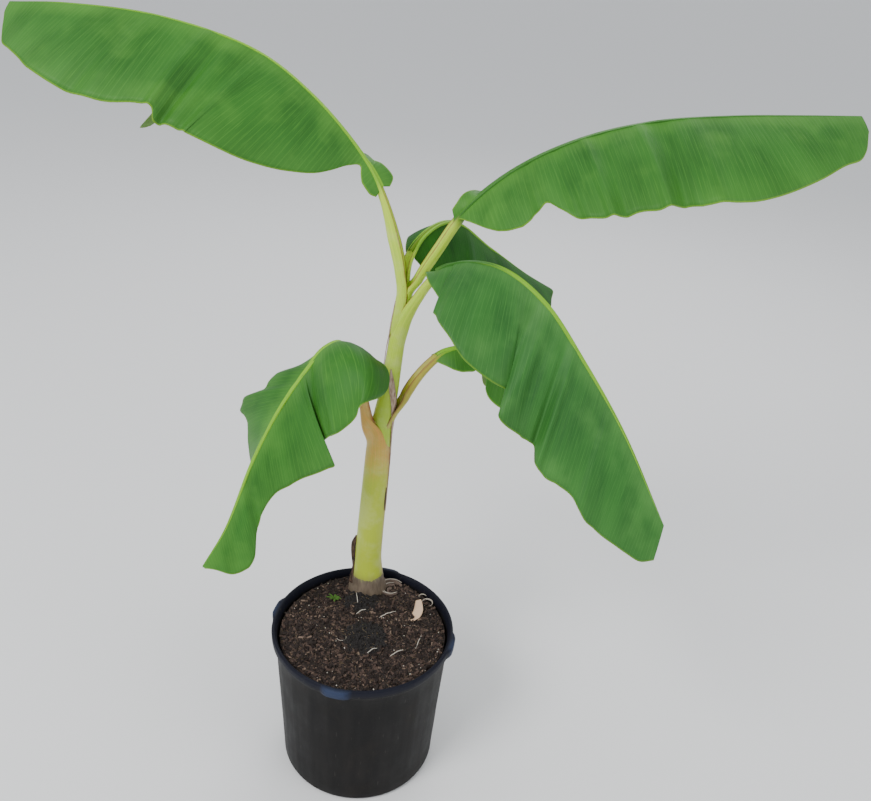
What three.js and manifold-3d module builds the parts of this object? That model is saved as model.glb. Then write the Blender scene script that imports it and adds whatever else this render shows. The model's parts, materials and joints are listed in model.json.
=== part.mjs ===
// A young banana plant in a round nursery pot.
// Millimetres, +Z up. The origin is the middle of the pot's flat underside.
import * as THREE from "three";
import { mergeVertices } from "three/addons/utils/BufferGeometryUtils.js";
import Module from "manifold-3d";

// Pot
const POT_HEIGHT = 251;
const RIM_RADIUS = 140;
const WALL_TOP_RADIUS = 133.7;
const BASE_RADIUS = 121;
const WALL = 2.5;
const RIM_DEPTH = 17;
const POT_SIDES = 48;
const LUG_SIZE = { width: 44, depth: 9, height: 13 };
const LUG_ANGLES = [-100, -10, 80, 170];

// Soil
const SOIL_LEVEL = 236;
const MOUND_HEIGHT = 9;
const MOUND_SPREAD = 42;
const CLODS = [
  { x: -9, y: 64, height: 12, spread: 17 },
  { x: 5, y: -19, height: 13, spread: 21 },
];

// Pseudostem: a tapering column that stands upright, leans to the right in its
// upper half and flares into the corm at its foot. STEM_LINE holds [height, x]
// stations of its middle, and STEM_RADII [part of its height, radius] ones.
// The heights of STEM_LINE and of the leaves' paths count from PLANT_DATUM.
const PLANT_DATUM = 8;
const FOOT = { x: -4, y: 95, z: 240 };
const STEM_HEIGHT = 520;
const STEM_LINE = [
  [232, -4], [300, -4.5], [350, -3], [420, 0], [485, 2.8], [527, 4.5], [569, 10], [610, 15.5],
  [650, 19], [700, 23], [752, 29],
];
const STEM_RADII = [
  [0, 30], [0.025, 29], [0.05, 26], [0.09, 23.5], [0.135, 21.3], [0.2, 20.8], [0.36, 20],
  [0.52, 18.8], [0.6, 17.2], [0.67, 15.2], [0.77, 13.4], [0.84, 13], [0.92, 14], [1, 13.6],
];
const STEM_SIDES = 20;
const STEM_STEPS = 20;

// Space between pieces that touch
const CLEAR = 0.3;

// Leaves. azimuth is the way the leaf grows, in degrees from +X towards +Y.
// path holds [reach, height] stations of the petiole's upper face and the midrib,
// measured from the place foot in the stem. neck is the length of the petiole
// along that path, and petiole its radius at parts of that length. Each half of
// the blade has tables of [station, value] pairs, where the station runs from 0 at
// the neck to 1 at the tip: its width, and in degrees its droop at the midrib, the
// curl that it adds by the margin, and the sweep of its veins towards the tip.
const LEAVES = [
  {
    name: "left", azimuth: 179, neck: 148, foot: [38, 95],
    petiole: [[0, 10.7], [0.5, 10.4], [0.72, 8.2], [0.88, 6.6], [1, 6]],
    path: [[5, 758], [9.7, 792], [19, 830], [46, 899], [76, 944], [137, 1007], [206, 1053],
      [321, 1083], [442, 1088], [514, 1064]],
    right: {
      width: [[0, 12], [0.02, 24], [0.055, 16], [0.12, 95], [0.25, 168], [0.4, 174],
        [0.6, 155], [0.8, 105], [0.93, 60], [1, 10]],
      droop: [[0, -40], [0.12, 45], [0.3, 62], [1, 50]],
      curl: [[0, 10]],
      sweep: [[0, -15], [0.1, 12], [1, 38]],
    },
    left: {
      width: [[0, 14], [0.02, 24], [0.055, 18], [0.12, 98], [0.2, 158], [0.32, 181],
        [0.42, 158], [0.5, 148], [0.6, 154], [0.8, 114], [0.93, 65], [1, 12]],
      droop: [[0, 40], [0.3, 35], [1, 40]],
      curl: [[0, 15]],
      sweep: [[0, -15], [0.1, 12], [1, 38]],
    },
  },
  {
    name: "right", azimuth: 6, neck: 123, foot: [43, 95],
    petiole: [[0, 8.5], [0.5, 9], [1, 8.5]],
    path: [[-11, 755], [0, 783], [23, 825], [52, 872], [115, 931], [195, 975], [288, 1004],
      [388, 1019], [480, 1026], [568, 1030]],
    right: {
      width: [[0, 14], [0.05, 46], [0.1, 84], [0.16, 80], [0.2, 108], [0.25, 144],
        [0.4, 169], [0.5, 171], [0.62, 157], [0.8, 111], [0.93, 63], [1, 22]],
      droop: [[0, 10], [0.08, 25], [1, 25]],
      curl: [[0, 15]],
      sweep: [[0, -25], [0.12, 5], [0.3, 22], [1, 35]],
    },
    left: {
      width: [[0, 14], [0.06, 50], [0.2, 125], [0.45, 160], [0.7, 130], [0.93, 60], [1, 10]],
      droop: [[0, 0], [0.1, 45], [0.5, 58], [0.75, 40], [1, 20]],
      curl: [[0, 15]],
      sweep: [[0, -25], [0.12, 5], [0.3, 22], [1, 36]],
    },
  },
  {
    name: "front_right", azimuth: -35, neck: 129, foot: [27, 95], split: 0.34,
    petiole: [[0, 11.5], [0.3, 10.6], [0.6, 8], [1, 6.5]],
    path: [[-5, 688], [3, 727], [20.5, 757], [48, 795], [86, 823], [153, 833], [220, 807],
      [286, 747], [352, 674], [420, 572]],
    right: {
      width: [[0, 16], [0.06, 50], [0.1, 94], [0.15, 134], [0.2, 147], [0.3, 138], [0.37, 148],
        [0.53, 122], [0.6, 128], [0.79, 102], [0.93, 75], [1, 34]],
      droop: [[0, 0], [0.06, 4], [0.12, 22], [0.3, 40], [1, 45]],
      curl: [[0, 15]],
      sweep: [[0, 14], [0.1, 8], [0.34, 28], [1, 38]],
    },
    left: {
      width: [[0, 18], [0.05, 50], [0.17, 110], [0.32, 130], [0.53, 120], [0.79, 95], [0.93, 68], [1, 20]],
      droop: [[0, 30], [0.15, 38], [0.35, 46], [1, 60]],
      curl: [[0, 10]],
      sweep: [[0, -25], [0.13, 8], [0.4, 30], [1, 38]],
    },
  },
  {
    name: "front_left", azimuth: 212, neck: 156, foot: [0, 95], split: 0.25,
    petiole: [[0, 11.5], [0.2, 10], [0.4, 8], [1, 7.5]],
    path: [[-8, 505], [5, 536], [14.5, 562], [26, 607], [40, 658], [62, 690], [88, 684], [116, 654],
      [155, 600], [191, 528], [232, 424], [267, 372]],
    right: {
      width: [[0, 22], [0.1, 34], [0.2, 54], [0.3, 90], [0.35, 118], [0.42, 106], [0.6, 60],
        [0.9, 42], [1, 10]],
      droop: [[0, 50], [0.15, 36], [0.22, -2], [0.35, -12], [0.42, 4], [0.52, 42], [1, 60]],
      curl: [[0, 20]],
      sweep: [[0, -10], [0.15, 5], [0.22, 12], [0.35, 33], [1, 50]],
    },
    left: {
      width: [[0, 40], [0.04, 98], [0.1, 128], [0.18, 124], [0.27, 132], [0.4, 108],
        [0.6, 70], [0.76, 80], [0.9, 45], [1, 8]],
      droop: [[0, -40], [0.1, -22], [0.2, 5], [0.4, 45]],
      curl: [[0, 75], [0.1, 92], [0.25, 50], [0.4, 20]],
      sweep: [[0, -8], [0.1, -8], [0.2, 28], [0.4, 44], [0.6, 54], [0.85, 52], [1, 25]],
    },
  },
  {
    name: "back", azimuth: 52, neck: 75, foot: [24, 104], split: 0.32,
    petiole: [[0, 9], [1, 6.5]],
    path: [[0, 740], [7, 799], [43, 830], [100, 837], [200, 780], [310, 715], [392, 667]],
    right: {
      width: [[0, 12], [0.06, 55], [0.2, 104], [0.5, 110], [0.75, 84], [0.92, 42], [1, 8]],
      droop: [[0, 58], [0.2, 60], [0.5, 42], [0.9, 20], [1, 0]],
      curl: [[0, 25]],
      sweep: [[0, -20], [0.15, 0], [0.5, 18], [1, 35]],
    },
    left: {
      width: [[0, 10], [0.06, 26], [0.2, 72], [0.5, 98], [0.75, 80], [0.92, 42], [1, 8]],
      droop: [[0, 5], [0.12, 20], [0.3, 45], [0.6, 55], [0.9, 30], [1, 0]],
      curl: [[0, 20]],
      sweep: [[0, -20], [0.2, 5], [0.6, 18], [1, 35]],
    },
  },
  {
    name: "small", azimuth: 15, neck: 141, foot: [29, 95],
    petiole: [[0, 9.5], [0.4, 9], [0.75, 8], [1, 7]],
    path: [[-4, 553], [1, 580], [8, 605], [36, 646], [65, 668], [117, 669], [183, 628], [240, 562]],
    right: {
      width: [[0, 9], [0.08, 42], [0.2, 54], [0.3, 56], [0.45, 76], [0.7, 66], [0.93, 32], [1, 8]],
      droop: [[0, 30]],
      curl: [[0, 25]],
      sweep: [[0, -20], [0.15, -2], [0.5, 15], [1, 30]],
    },
    left: {
      width: [[0, 9], [0.08, 34], [0.2, 55], [0.5, 70], [0.7, 62], [0.93, 32], [1, 8]],
      droop: [[0, 40], [0.5, 55], [1, 30]],
      curl: [[0, 20]],
      sweep: [[0, -20], [0.15, 0], [0.6, 15], [1, 30]],
    },
  },
];
const THICKNESS_PER_LENGTH = 1 / 90;
const RIB_DEPTH = { neck: 7, tip: 1.5 };
const BLADE_SPACING = 26;
const BLADE_COLUMNS = 4;
const PETIOLE_SIDES = 12;
const PETIOLE_SINK = 0.6;
const PETIOLE_SPACING = 16;

const COLOURS = {
  pot: 0x2a2a2d, soil: 0x4a3526, stem: 0xa5aa46, petiole: 0xb9c864, blade: 0x4b8737,
};

const wasm = await Module();
wasm.setup();

const rad = THREE.MathUtils.degToRad;

// The value at a station of the smooth curve through a table of [station, value] pairs.
function smooth(table, station) {
  if (table.length === 1) return table[0][1];
  const last = table.length - 1;
  const s = THREE.MathUtils.clamp(station, table[0][0], table[last][0]);
  let k = 0;
  while (k < last - 1 && s > table[k + 1][0]) k += 1;
  const rise = (i) => (table[i + 1][1] - table[i][1]) / (table[i + 1][0] - table[i][0]);
  const slope = (i) => {
    if (i === 0) return rise(0);
    if (i === last) return rise(last - 1);
    const before = rise(i - 1);
    const after = rise(i);
    return before * after <= 0 ? 0 : (2 * before * after) / (before + after);
  };
  const h = table[k + 1][0] - table[k][0];
  const u = (s - table[k][0]) / h;
  return (1 + 2 * u) * (1 - u) ** 2 * table[k][1] + u * (1 - u) ** 2 * h * slope(k)
    + u * u * (3 - 2 * u) * table[k + 1][1] + u * u * (u - 1) * h * slope(k + 1);
}

// Moves every vertex of a closed geometry and leaves shared vertices merged.
function reshape(geometry, place) {
  const position = geometry.attributes.position;
  const at = new THREE.Vector3();
  for (let i = 0; i < position.count; i += 1) {
    at.fromBufferAttribute(position, i);
    place(at);
    position.setXYZ(i, at.x, at.y, at.z);
  }
  return weld(geometry);
}

function weld(geometry) {
  geometry.deleteAttribute("normal");
  geometry.deleteAttribute("uv");
  return mergeVertices(geometry, 1e-4);
}

function toSolid(geometry) {
  const vertProperties = Float32Array.from(geometry.attributes.position.array);
  const triVerts = Uint32Array.from(geometry.index.array);
  return new wasm.Manifold(new wasm.Mesh({ numProp: 3, vertProperties, triVerts }));
}

// The largest piece of a solid, as a geometry.
function toGeometry(solid) {
  const pieces = solid.decompose();
  const whole = pieces.reduce((a, b) => (b.volume() > a.volume() ? b : a));
  const mesh = whole.getMesh();
  const geometry = new THREE.BufferGeometry();
  geometry.setAttribute("position", new THREE.BufferAttribute(Float32Array.from(mesh.vertProperties), 3));
  geometry.setIndex(new THREE.BufferAttribute(Uint32Array.from(mesh.triVerts), 1));
  return geometry;
}

const plant = new THREE.Group();

function addMesh(name, geometry, colour, roughness) {
  geometry.computeVertexNormals();
  const material = new THREE.MeshStandardMaterial({ color: colour, roughness, metalness: 0 });
  const mesh = new THREE.Mesh(geometry, material);
  mesh.name = name;
  plant.add(mesh);
}

// A profile of [radius, height] points turned about the Z axis.
function turned(profile, sides) {
  const points = profile.map(([radius, height]) => new THREE.Vector2(radius, height));
  const geometry = new THREE.LatheGeometry(points, sides);
  geometry.rotateX(Math.PI / 2);
  return geometry;
}

const wallRadius = (height) => BASE_RADIUS
  + ((WALL_TOP_RADIUS - BASE_RADIUS) * height) / (POT_HEIGHT - RIM_DEPTH);

function makePot() {
  const rimFoot = POT_HEIGHT - RIM_DEPTH;
  const inner = WALL_TOP_RADIUS - WALL;
  const profile = [
    [0, 0], [BASE_RADIUS - 7, 0], [BASE_RADIUS - 2, 2], [wallRadius(7), 7],
    [wallRadius(rimFoot - 6), rimFoot - 6], [WALL_TOP_RADIUS + 1, rimFoot - 2],
    [RIM_RADIUS - 1, rimFoot + 2], [RIM_RADIUS, rimFoot + 5], [RIM_RADIUS, POT_HEIGHT - 3],
    [RIM_RADIUS - 1.5, POT_HEIGHT - 0.6], [RIM_RADIUS - 3, POT_HEIGHT],
    [inner + 3, POT_HEIGHT - 0.6], [inner + 1.5, POT_HEIGHT - 4], [inner, rimFoot],
    [wallRadius(7) - WALL, 7], [BASE_RADIUS - 7, 3], [0, 3],
  ];
  let pot = toSolid(weld(turned(profile, POT_SIDES)));
  for (const angle of LUG_ANGLES) {
    const lug = new THREE.BoxGeometry(LUG_SIZE.depth, LUG_SIZE.width, LUG_SIZE.height);
    reshape(lug, (p) => {
      const shrink = p.x > 0 ? 0.75 : 1;
      p.y *= shrink;
      p.z = p.z * shrink + POT_HEIGHT - LUG_SIZE.height / 2 - 1.5;
      p.x += RIM_RADIUS - 0.5;
    });
    const welded = weld(lug);
    welded.rotateZ(rad(angle));
    pot = pot.add(toSolid(welded));
  }
  addMesh("pot", toGeometry(pot), COLOURS.pot, 0.55);
}

// The height of the soil above its level: a mound at the stem and two clods.
function soilRise(x, y) {
  const bump = (cx, cy, height, spread) => (
    height * Math.exp(-((x - cx) ** 2 + (y - cy) ** 2) / (2 * spread ** 2)));
  let rise = bump(FOOT.x, FOOT.y, MOUND_HEIGHT, MOUND_SPREAD);
  for (const clod of CLODS) rise += bump(clod.x, clod.y, clod.height, clod.spread);
  return rise;
}

function makeSoil() {
  const topRadius = wallRadius(SOIL_LEVEL - RIM_DEPTH) - WALL - 2;
  const rings = [0.88, 0.76, 0.64, 0.52, 0.4, 0.28, 0.15];
  const profile = [
    [0, 3 + CLEAR], [BASE_RADIUS - 7.6, 3 + CLEAR], [wallRadius(7) - WALL - 0.5, 7.3],
    [topRadius, SOIL_LEVEL - RIM_DEPTH], [topRadius, SOIL_LEVEL],
    ...rings.map((part) => [topRadius * part, SOIL_LEVEL]), [0, SOIL_LEVEL],
  ];
  const body = reshape(turned(profile, 40), (p) => {
    if (p.z > SOIL_LEVEL - 1) p.z += soilRise(p.x, p.y);
  });
  const seatRadius = STEM_RADII[0][1] + 1.5 * CLEAR;
  const seat = new THREE.CylinderGeometry(seatRadius, seatRadius, 60, STEM_SIDES);
  seat.rotateX(Math.PI / 2);
  seat.translate(FOOT.x, FOOT.y, FOOT.z - CLEAR + 30);
  const soil = toSolid(body).subtract(toSolid(weld(seat)));
  addMesh("soil", toGeometry(soil), COLOURS.soil, 0.95);
}

// A round limb under a curve, its radius given by a table over its length.
// It is a cylinder that is bent along the curve, between its start and a place on it.
function limb(curve, radii, sides, steps, to, extra) {
  const geometry = new THREE.CylinderGeometry(1, 1, 1, sides, steps);
  const side = new THREE.Vector3();
  const up = new THREE.Vector3();
  return reshape(geometry, (p) => {
    const part = THREE.MathUtils.clamp(p.y + 0.5, 0, 1);
    const u = to * part;
    const along = curve.getTangentAt(u);
    side.set(0, 1, 0).addScaledVector(along, -along.y).normalize();
    up.crossVectors(side, along);
    const radius = smooth(radii, part);
    const a = p.x * (radius + extra);
    const b = p.z * (radius + extra) - PETIOLE_SINK * radius;
    const end = extra * (part < 0.001 ? -1 : part > 0.999 ? 1 : 0);
    p.copy(curve.getPointAt(u)).addScaledVector(side, a).addScaledVector(up, b);
    p.addScaledVector(along, end);
  });
}

// The pseudostem, or the same shape grown by extra, which cuts its neighbours.
function stemShape(extra) {
  const geometry = new THREE.CylinderGeometry(1, 1, 1, STEM_SIDES, STEM_STEPS);
  return reshape(geometry, (p) => {
    const part = THREE.MathUtils.clamp(p.y + 0.5, 0, 1);
    const radius = smooth(STEM_RADII, part) + extra;
    const height = FOOT.z + STEM_HEIGHT * part;
    const end = part > 0.999 ? extra : 0;
    p.set(smooth(STEM_LINE, height - PLANT_DATUM) + p.x * radius, FOOT.y - p.z * radius, height + end);
  });
}

function leafCurve(leaf) {
  const turn = rad(leaf.azimuth);
  const points = leaf.path.map(([reach, height]) => new THREE.Vector3(
    leaf.foot[0] + Math.cos(turn) * reach, leaf.foot[1] + Math.sin(turn) * reach,
    height + PLANT_DATUM));
  const curve = new THREE.CatmullRomCurve3(points, false, "centripetal");
  curve.arcLengthDivisions = 400;
  return curve;
}

// A point of the blade: station 0 to 1 from neck to tip, across -1 to 1 from the
// left margin to the right one, and lift above the middle of the blade.
function bladePoint(leaf, curve, station, across, lift) {
  const length = curve.getLength();
  const u = (leaf.neck + (length - leaf.neck) * station) / length;
  const along = curve.getTangentAt(u);
  const turn = rad(leaf.azimuth);
  const out = new THREE.Vector3(Math.sin(turn), -Math.cos(turn), 0);
  out.addScaledVector(along, -out.dot(along)).normalize();
  const up = new THREE.Vector3().crossVectors(out, along);
  const half = across < 0 ? leaf.left : leaf.right;
  const sign = Math.sign(across);
  const t = Math.abs(across);
  const droop = rad(smooth(half.droop, station));
  const curl = rad(smooth(half.curl, station));
  const sweep = rad(smooth(half.sweep, station));
  const width = smooth(half.width, station);
  const aside = (Math.sin(droop + curl * t) - Math.sin(droop)) / curl;
  const fall = (Math.cos(droop) - Math.cos(droop + curl * t)) / curl;
  const tilt = droop + curl * t;
  return curve.getPointAt(u)
    .addScaledVector(out, sign * (width * aside * Math.cos(sweep) + lift * Math.sin(tilt)))
    .addScaledVector(up, -width * fall * Math.cos(sweep) + lift * (sign === 0 ? 1 : Math.cos(tilt)))
    .addScaledVector(along, width * t * Math.sin(sweep));
}

// A blade: a flat box that is bent into a leaf.
function bladeShape(leaf, curve) {
  const length = curve.getLength() - leaf.neck;
  const thickness = length * THICKNESS_PER_LENGTH;
  const rows = Math.round(length / BLADE_SPACING);
  const box = new THREE.BoxGeometry(2, 1, 1, 2 * BLADE_COLUMNS, 1, rows);
  return reshape(box, (p) => {
    const station = 0.5 - p.z;
    const across = Math.sign(p.x) * Math.abs(p.x) ** 1.15;
    const rib = p.x === 0 ? THREE.MathUtils.lerp(RIB_DEPTH.neck, RIB_DEPTH.tip, station) : 0;
    const lift = p.y > 0 ? thickness / 2 : -thickness / 2 - rib;
    p.copy(bladePoint(leaf, curve, station, across, lift));
  });
}

// The space on one side of the upright plane that splits a leaf at its bend.
function spaceBeside(leaf, curve, side) {
  const length = curve.getLength();
  const place = curve.getPointAt((leaf.neck + (length - leaf.neck) * leaf.split) / length);
  const reach = 1000;
  const box = new THREE.BoxGeometry(reach, 2 * reach, 2 * reach);
  box.translate(side * (reach / 2 - CLEAR / 2), 0, 0);
  box.rotateZ(rad(leaf.azimuth));
  box.translate(place.x, place.y, place.z);
  return toSolid(weld(box));
}

makePot();
makeSoil();
addMesh("pseudostem", stemShape(0), COLOURS.stem, 0.6);

// Each petiole is cut by the stem and by the petioles before it, each blade by its petiole.
const cutters = [toSolid(stemShape(CLEAR))];
for (const leaf of LEAVES) {
  const curve = leafCurve(leaf);
  const length = curve.getLength();
  const steps = Math.round(leaf.neck / PETIOLE_SPACING);
  const top = (leaf.neck - CLEAR) / length;
  let petiole = toSolid(limb(curve, leaf.petiole, PETIOLE_SIDES, steps, top, 0));
  for (const cutter of cutters) petiole = petiole.subtract(cutter);
  addMesh(`petiole_${leaf.name}`, toGeometry(petiole), COLOURS.petiole, 0.6);
  const grown = toSolid(limb(curve, leaf.petiole, PETIOLE_SIDES, steps, top, CLEAR));
  cutters.push(grown);
  // A blade that folds over itself at its neck is cut once for each layer.
  const blade = toSolid(bladeShape(leaf, curve)).subtract(grown).subtract(grown);
  if (leaf.split) {
    const inner = blade.subtract(spaceBeside(leaf, curve, 1));
    const outer = blade.subtract(spaceBeside(leaf, curve, -1));
    addMesh(`blade_${leaf.name}_inner`, toGeometry(inner), COLOURS.blade, 0.5);
    addMesh(`blade_${leaf.name}_outer`, toGeometry(outer), COLOURS.blade, 0.5);
  } else {
    addMesh(`blade_${leaf.name}`, toGeometry(blade), COLOURS.blade, 0.5);
  }
}

export default plant;
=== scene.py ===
# %% [markdown]
# # A young banana plant in a nursery pot
#
# This lesson dresses the solid model of a potted banana plant. The solids give the
# sizes. Here they get thin pleated leaves, channelled leaf stalks, wrapped sheaths,
# a moulded pot and loose potting mix, all made in mesh code.

# %% Load the solids
import json
import math
import random

import bmesh
import bpy
from mathutils import Matrix, Vector, noise

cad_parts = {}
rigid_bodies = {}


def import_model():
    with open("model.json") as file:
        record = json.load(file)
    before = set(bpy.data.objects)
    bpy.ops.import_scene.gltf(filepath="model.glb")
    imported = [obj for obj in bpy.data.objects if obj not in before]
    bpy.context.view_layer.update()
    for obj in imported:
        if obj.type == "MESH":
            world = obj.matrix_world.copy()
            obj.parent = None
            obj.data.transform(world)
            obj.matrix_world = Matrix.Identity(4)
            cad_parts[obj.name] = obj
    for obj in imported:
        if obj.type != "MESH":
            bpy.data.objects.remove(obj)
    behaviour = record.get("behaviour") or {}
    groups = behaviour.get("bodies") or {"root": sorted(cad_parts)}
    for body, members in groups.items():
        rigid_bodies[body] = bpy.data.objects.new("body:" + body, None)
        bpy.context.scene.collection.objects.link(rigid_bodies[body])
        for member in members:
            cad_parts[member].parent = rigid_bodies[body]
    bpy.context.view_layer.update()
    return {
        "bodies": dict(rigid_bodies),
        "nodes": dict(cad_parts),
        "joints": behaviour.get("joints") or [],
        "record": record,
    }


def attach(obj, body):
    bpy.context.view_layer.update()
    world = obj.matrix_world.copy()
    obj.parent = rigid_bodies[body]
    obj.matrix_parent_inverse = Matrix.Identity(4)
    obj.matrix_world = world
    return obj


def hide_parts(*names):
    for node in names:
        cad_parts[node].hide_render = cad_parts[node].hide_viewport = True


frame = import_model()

MM = 0.001
BODY = "root"

# %% [markdown]
# ## Camera
#
# The photograph was taken from a little over a metre away and from just above the
# plant, with the camera held slightly turned. A camera can be aimed with angles, but
# here its three axes are known, so they go straight into the columns of its matrix.

# %% Camera
PHOTO_WIDTH = 871
SENSOR_WIDTH = 36
FOCAL_LENGTH_PIXELS = 880
CAMERA_PLACE = Vector((0.0835, -1.045, 1.197))
CAMERA_PITCH = math.radians(27.6)
CAMERA_ROLL = math.radians(4.65)


def add_object(name, data):
    """A new object in the scene."""
    made = bpy.data.objects.new(name, data)
    bpy.context.collection.objects.link(made)
    return made


def make_camera():
    """A camera at the photograph's place, looking down at the plant."""
    data = bpy.data.cameras.new("photo_camera")
    camera = add_object("photo_camera", data)
    data.sensor_width = SENSOR_WIDTH
    data.lens = data.sensor_width * FOCAL_LENGTH_PIXELS / PHOTO_WIDTH
    forward = Vector((0, math.cos(CAMERA_PITCH), -math.sin(CAMERA_PITCH)))
    level = Vector((1, 0, 0))
    upright = level.cross(forward)
    right = level * math.cos(CAMERA_ROLL) + upright * math.sin(CAMERA_ROLL)
    up = upright * math.cos(CAMERA_ROLL) - level * math.sin(CAMERA_ROLL)
    turn = Matrix((right, up, -forward)).transposed().to_4x4()
    camera.matrix_world = Matrix.Translation(CAMERA_PLACE) @ turn
    bpy.context.scene.camera = camera
    print("lens", round(data.lens, 2), "mm")


make_camera()

# %% [markdown]
# ## Light and floor
#
# The plant stands in soft daylight. One small lamp would give hard shadows, so three
# large area lights and a pale world share the work. The floor is one big plane, and
# it is not part of the plant.

# %% Light and floor
FLOOR_SIZE = 150.0
LIGHTS = {
    "key": {"place": (-1.9, -2.2, 3.4), "size": 1.7, "power": 118},
    "fill": {"place": (2.6, -1.6, 2.0), "size": 2.4, "power": 28},
    "back": {"place": (0.6, 2.6, 2.8), "size": 2.4, "power": 34},
}
LIGHT_TARGET = Vector((0, 0.05, 0.55))
SKY_COLOUR = (0.93, 0.96, 1, 1)
SKY_STRENGTH = 0.8
FLOOR_COLOUR = (0.86, 0.86, 0.86, 1)
FLOOR_ROUGHNESS = 0.9


def make_lights():
    """Soft lights round the plant, each aimed at its middle."""
    for name, light in LIGHTS.items():
        data = bpy.data.lights.new(name, "AREA")
        data.shape = "DISK"
        data.size = light["size"]
        data.energy = light["power"]
        lamp = add_object(name, data)
        place = Vector(light["place"])
        aim = (LIGHT_TARGET - place).to_track_quat("-Z", "Y")
        lamp.matrix_world = Matrix.Translation(place) @ aim.to_matrix().to_4x4()
    world = bpy.data.worlds.new("daylight")
    bpy.context.scene.world = world
    world.use_nodes = True
    sky = world.node_tree.nodes["Background"]
    sky.inputs["Color"].default_value = SKY_COLOUR
    sky.inputs["Strength"].default_value = SKY_STRENGTH
    print(len(LIGHTS), "lamps")


def make_floor():
    """A plain pale floor under the pot."""
    grid = bmesh.new()
    bmesh.ops.create_grid(grid, x_segments=2, y_segments=2, size=FLOOR_SIZE)
    mesh = bpy.data.meshes.new("floor")
    grid.to_mesh(mesh)
    grid.free()
    floor = add_object("floor", mesh)
    material = bpy.data.materials.new("pale_floor")
    material.use_nodes = True
    shader = material.node_tree.nodes["Principled BSDF"]
    shader.inputs["Base Color"].default_value = FLOOR_COLOUR
    shader.inputs["Roughness"].default_value = FLOOR_ROUGHNESS
    mesh.materials.append(material)
    print("the floor reaches", FLOOR_SIZE, "m each way")


make_lights()
make_floor()

# %% [markdown]
# ## Helpers for materials
#
# A finish is a small tree of nodes in front of one shader. These helpers make the
# nodes and join them, so that each recipe below reads as a list of steps.

# %% Helpers for materials


def colour(red, green, blue):
    """A colour given as a screen shows it, 0 to 255, as Blender's linear values."""
    linear = []
    for value in (red, green, blue):
        part = value / 255
        linear.append(part / 12.92 if part <= 0.04045 else ((part + 0.055) / 1.055) ** 2.4)
    return (*linear, 1)


class Recipe:
    """One material and short calls that add nodes to it."""

    def __init__(self, name, roughness, specular=0.5):
        self.material = bpy.data.materials.new(name)
        self.material.use_nodes = True
        self.tree = self.material.node_tree
        self.shader = self.tree.nodes["Principled BSDF"]
        self.shader.inputs["Roughness"].default_value = roughness
        self.shader.inputs["Specular IOR Level"].default_value = specular

    def node(self, kind, inputs=None, **settings):
        """A node with its settings, and with values or links for its inputs."""
        made = self.tree.nodes.new(kind)
        for key, value in settings.items():
            setattr(made, key, value)
        for key, value in (inputs or {}).items():
            if isinstance(value, bpy.types.NodeSocket):
                self.tree.links.new(value, made.inputs[key])
            else:
                made.inputs[key].default_value = value
        return made

    def math(self, operation, first, second=0.0, third=0.0):
        """The result of a sum on numbers or sockets."""
        inputs = {0: first, 1: second, 2: third}
        return self.node("ShaderNodeMath", inputs, operation=operation).outputs[0]

    def attribute(self, name):
        """A number that the mesh carries on its vertices."""
        return self.node("ShaderNodeAttribute", attribute_name=name).outputs["Fac"]

    def place(self):
        """Where a point is on the object."""
        return self.node("ShaderNodeTexCoord").outputs["Object"]

    def height(self):
        """How high a point is on the object, in metres."""
        return self.node("ShaderNodeSeparateXYZ", {0: self.place()}).outputs["Z"]

    def tall_place(self, squeeze):
        """Where a point is, with heights made smaller, so that noise on it runs upright."""
        inputs = {"Vector": self.place(), "Scale": (1, 1, squeeze)}
        return self.node("ShaderNodeMapping", inputs).outputs[0]

    def pair(self, x, y):
        """Two numbers as one place for a noise."""
        return self.node("ShaderNodeCombineXYZ", {"X": x, "Y": y}).outputs[0]

    def noise(self, vector, scale, detail=3.0, roughness=0.5):
        """Soft noise from 0 to 1."""
        inputs = {"Vector": vector, "Scale": scale, "Detail": detail, "Roughness": roughness}
        return self.node("ShaderNodeTexNoise", inputs).outputs["Fac"]

    def ramp(self, factor, low, high):
        """0 below low, 1 above high and a soft step between them."""
        inputs = {"Value": factor, "From Min": low, "From Max": high}
        made = self.node("ShaderNodeMapRange", inputs, interpolation_type="SMOOTHSTEP")
        return made.outputs["Result"]

    def mix(self, factor, first, second):
        """The first colour where the factor is 0 and the second where it is 1."""
        inputs = {0: factor, 6: first, 7: second}
        return self.node("ShaderNodeMix", inputs, data_type="RGBA").outputs[2]

    def over(self, base, tint, factor, share):
        """A tint laid over a base colour by a share of a factor."""
        return self.mix(self.math("MULTIPLY", factor, share), base, tint)

    def bump(self, height, distance, strength=1.0, normal=None):
        """A relief from a height, as deep as the distance in metres."""
        inputs = {"Height": height, "Distance": distance, "Strength": strength}
        if normal is not None:
            inputs["Normal"] = normal
        return self.node("ShaderNodeBump", inputs).outputs["Normal"]

    def finish(self, base, normal=None, roughness=None):
        """Joins the last nodes to the shader and gives the material back."""
        links = {"Base Color": base, "Normal": normal, "Roughness": roughness}
        for key, value in links.items():
            if value is not None:
                self.tree.links.new(value, self.shader.inputs[key])
        return self.material


# %% [markdown]
# ## Helpers for pieces
#
# Every visible piece is a mesh that rides on the plant's one body. Where it stands
# in for solids, it hides them. The other helpers weld and close a mesh, spin a line
# round the pot's axis, and give soft curves through a few values.

# %% Helpers for pieces
WELD = 0.02 * MM
POT_AXIS = {"cent": (0, 0, 0), "axis": (0, 0, 1), "dvec": (0, 0, 0), "angle": 2 * math.pi}


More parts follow.
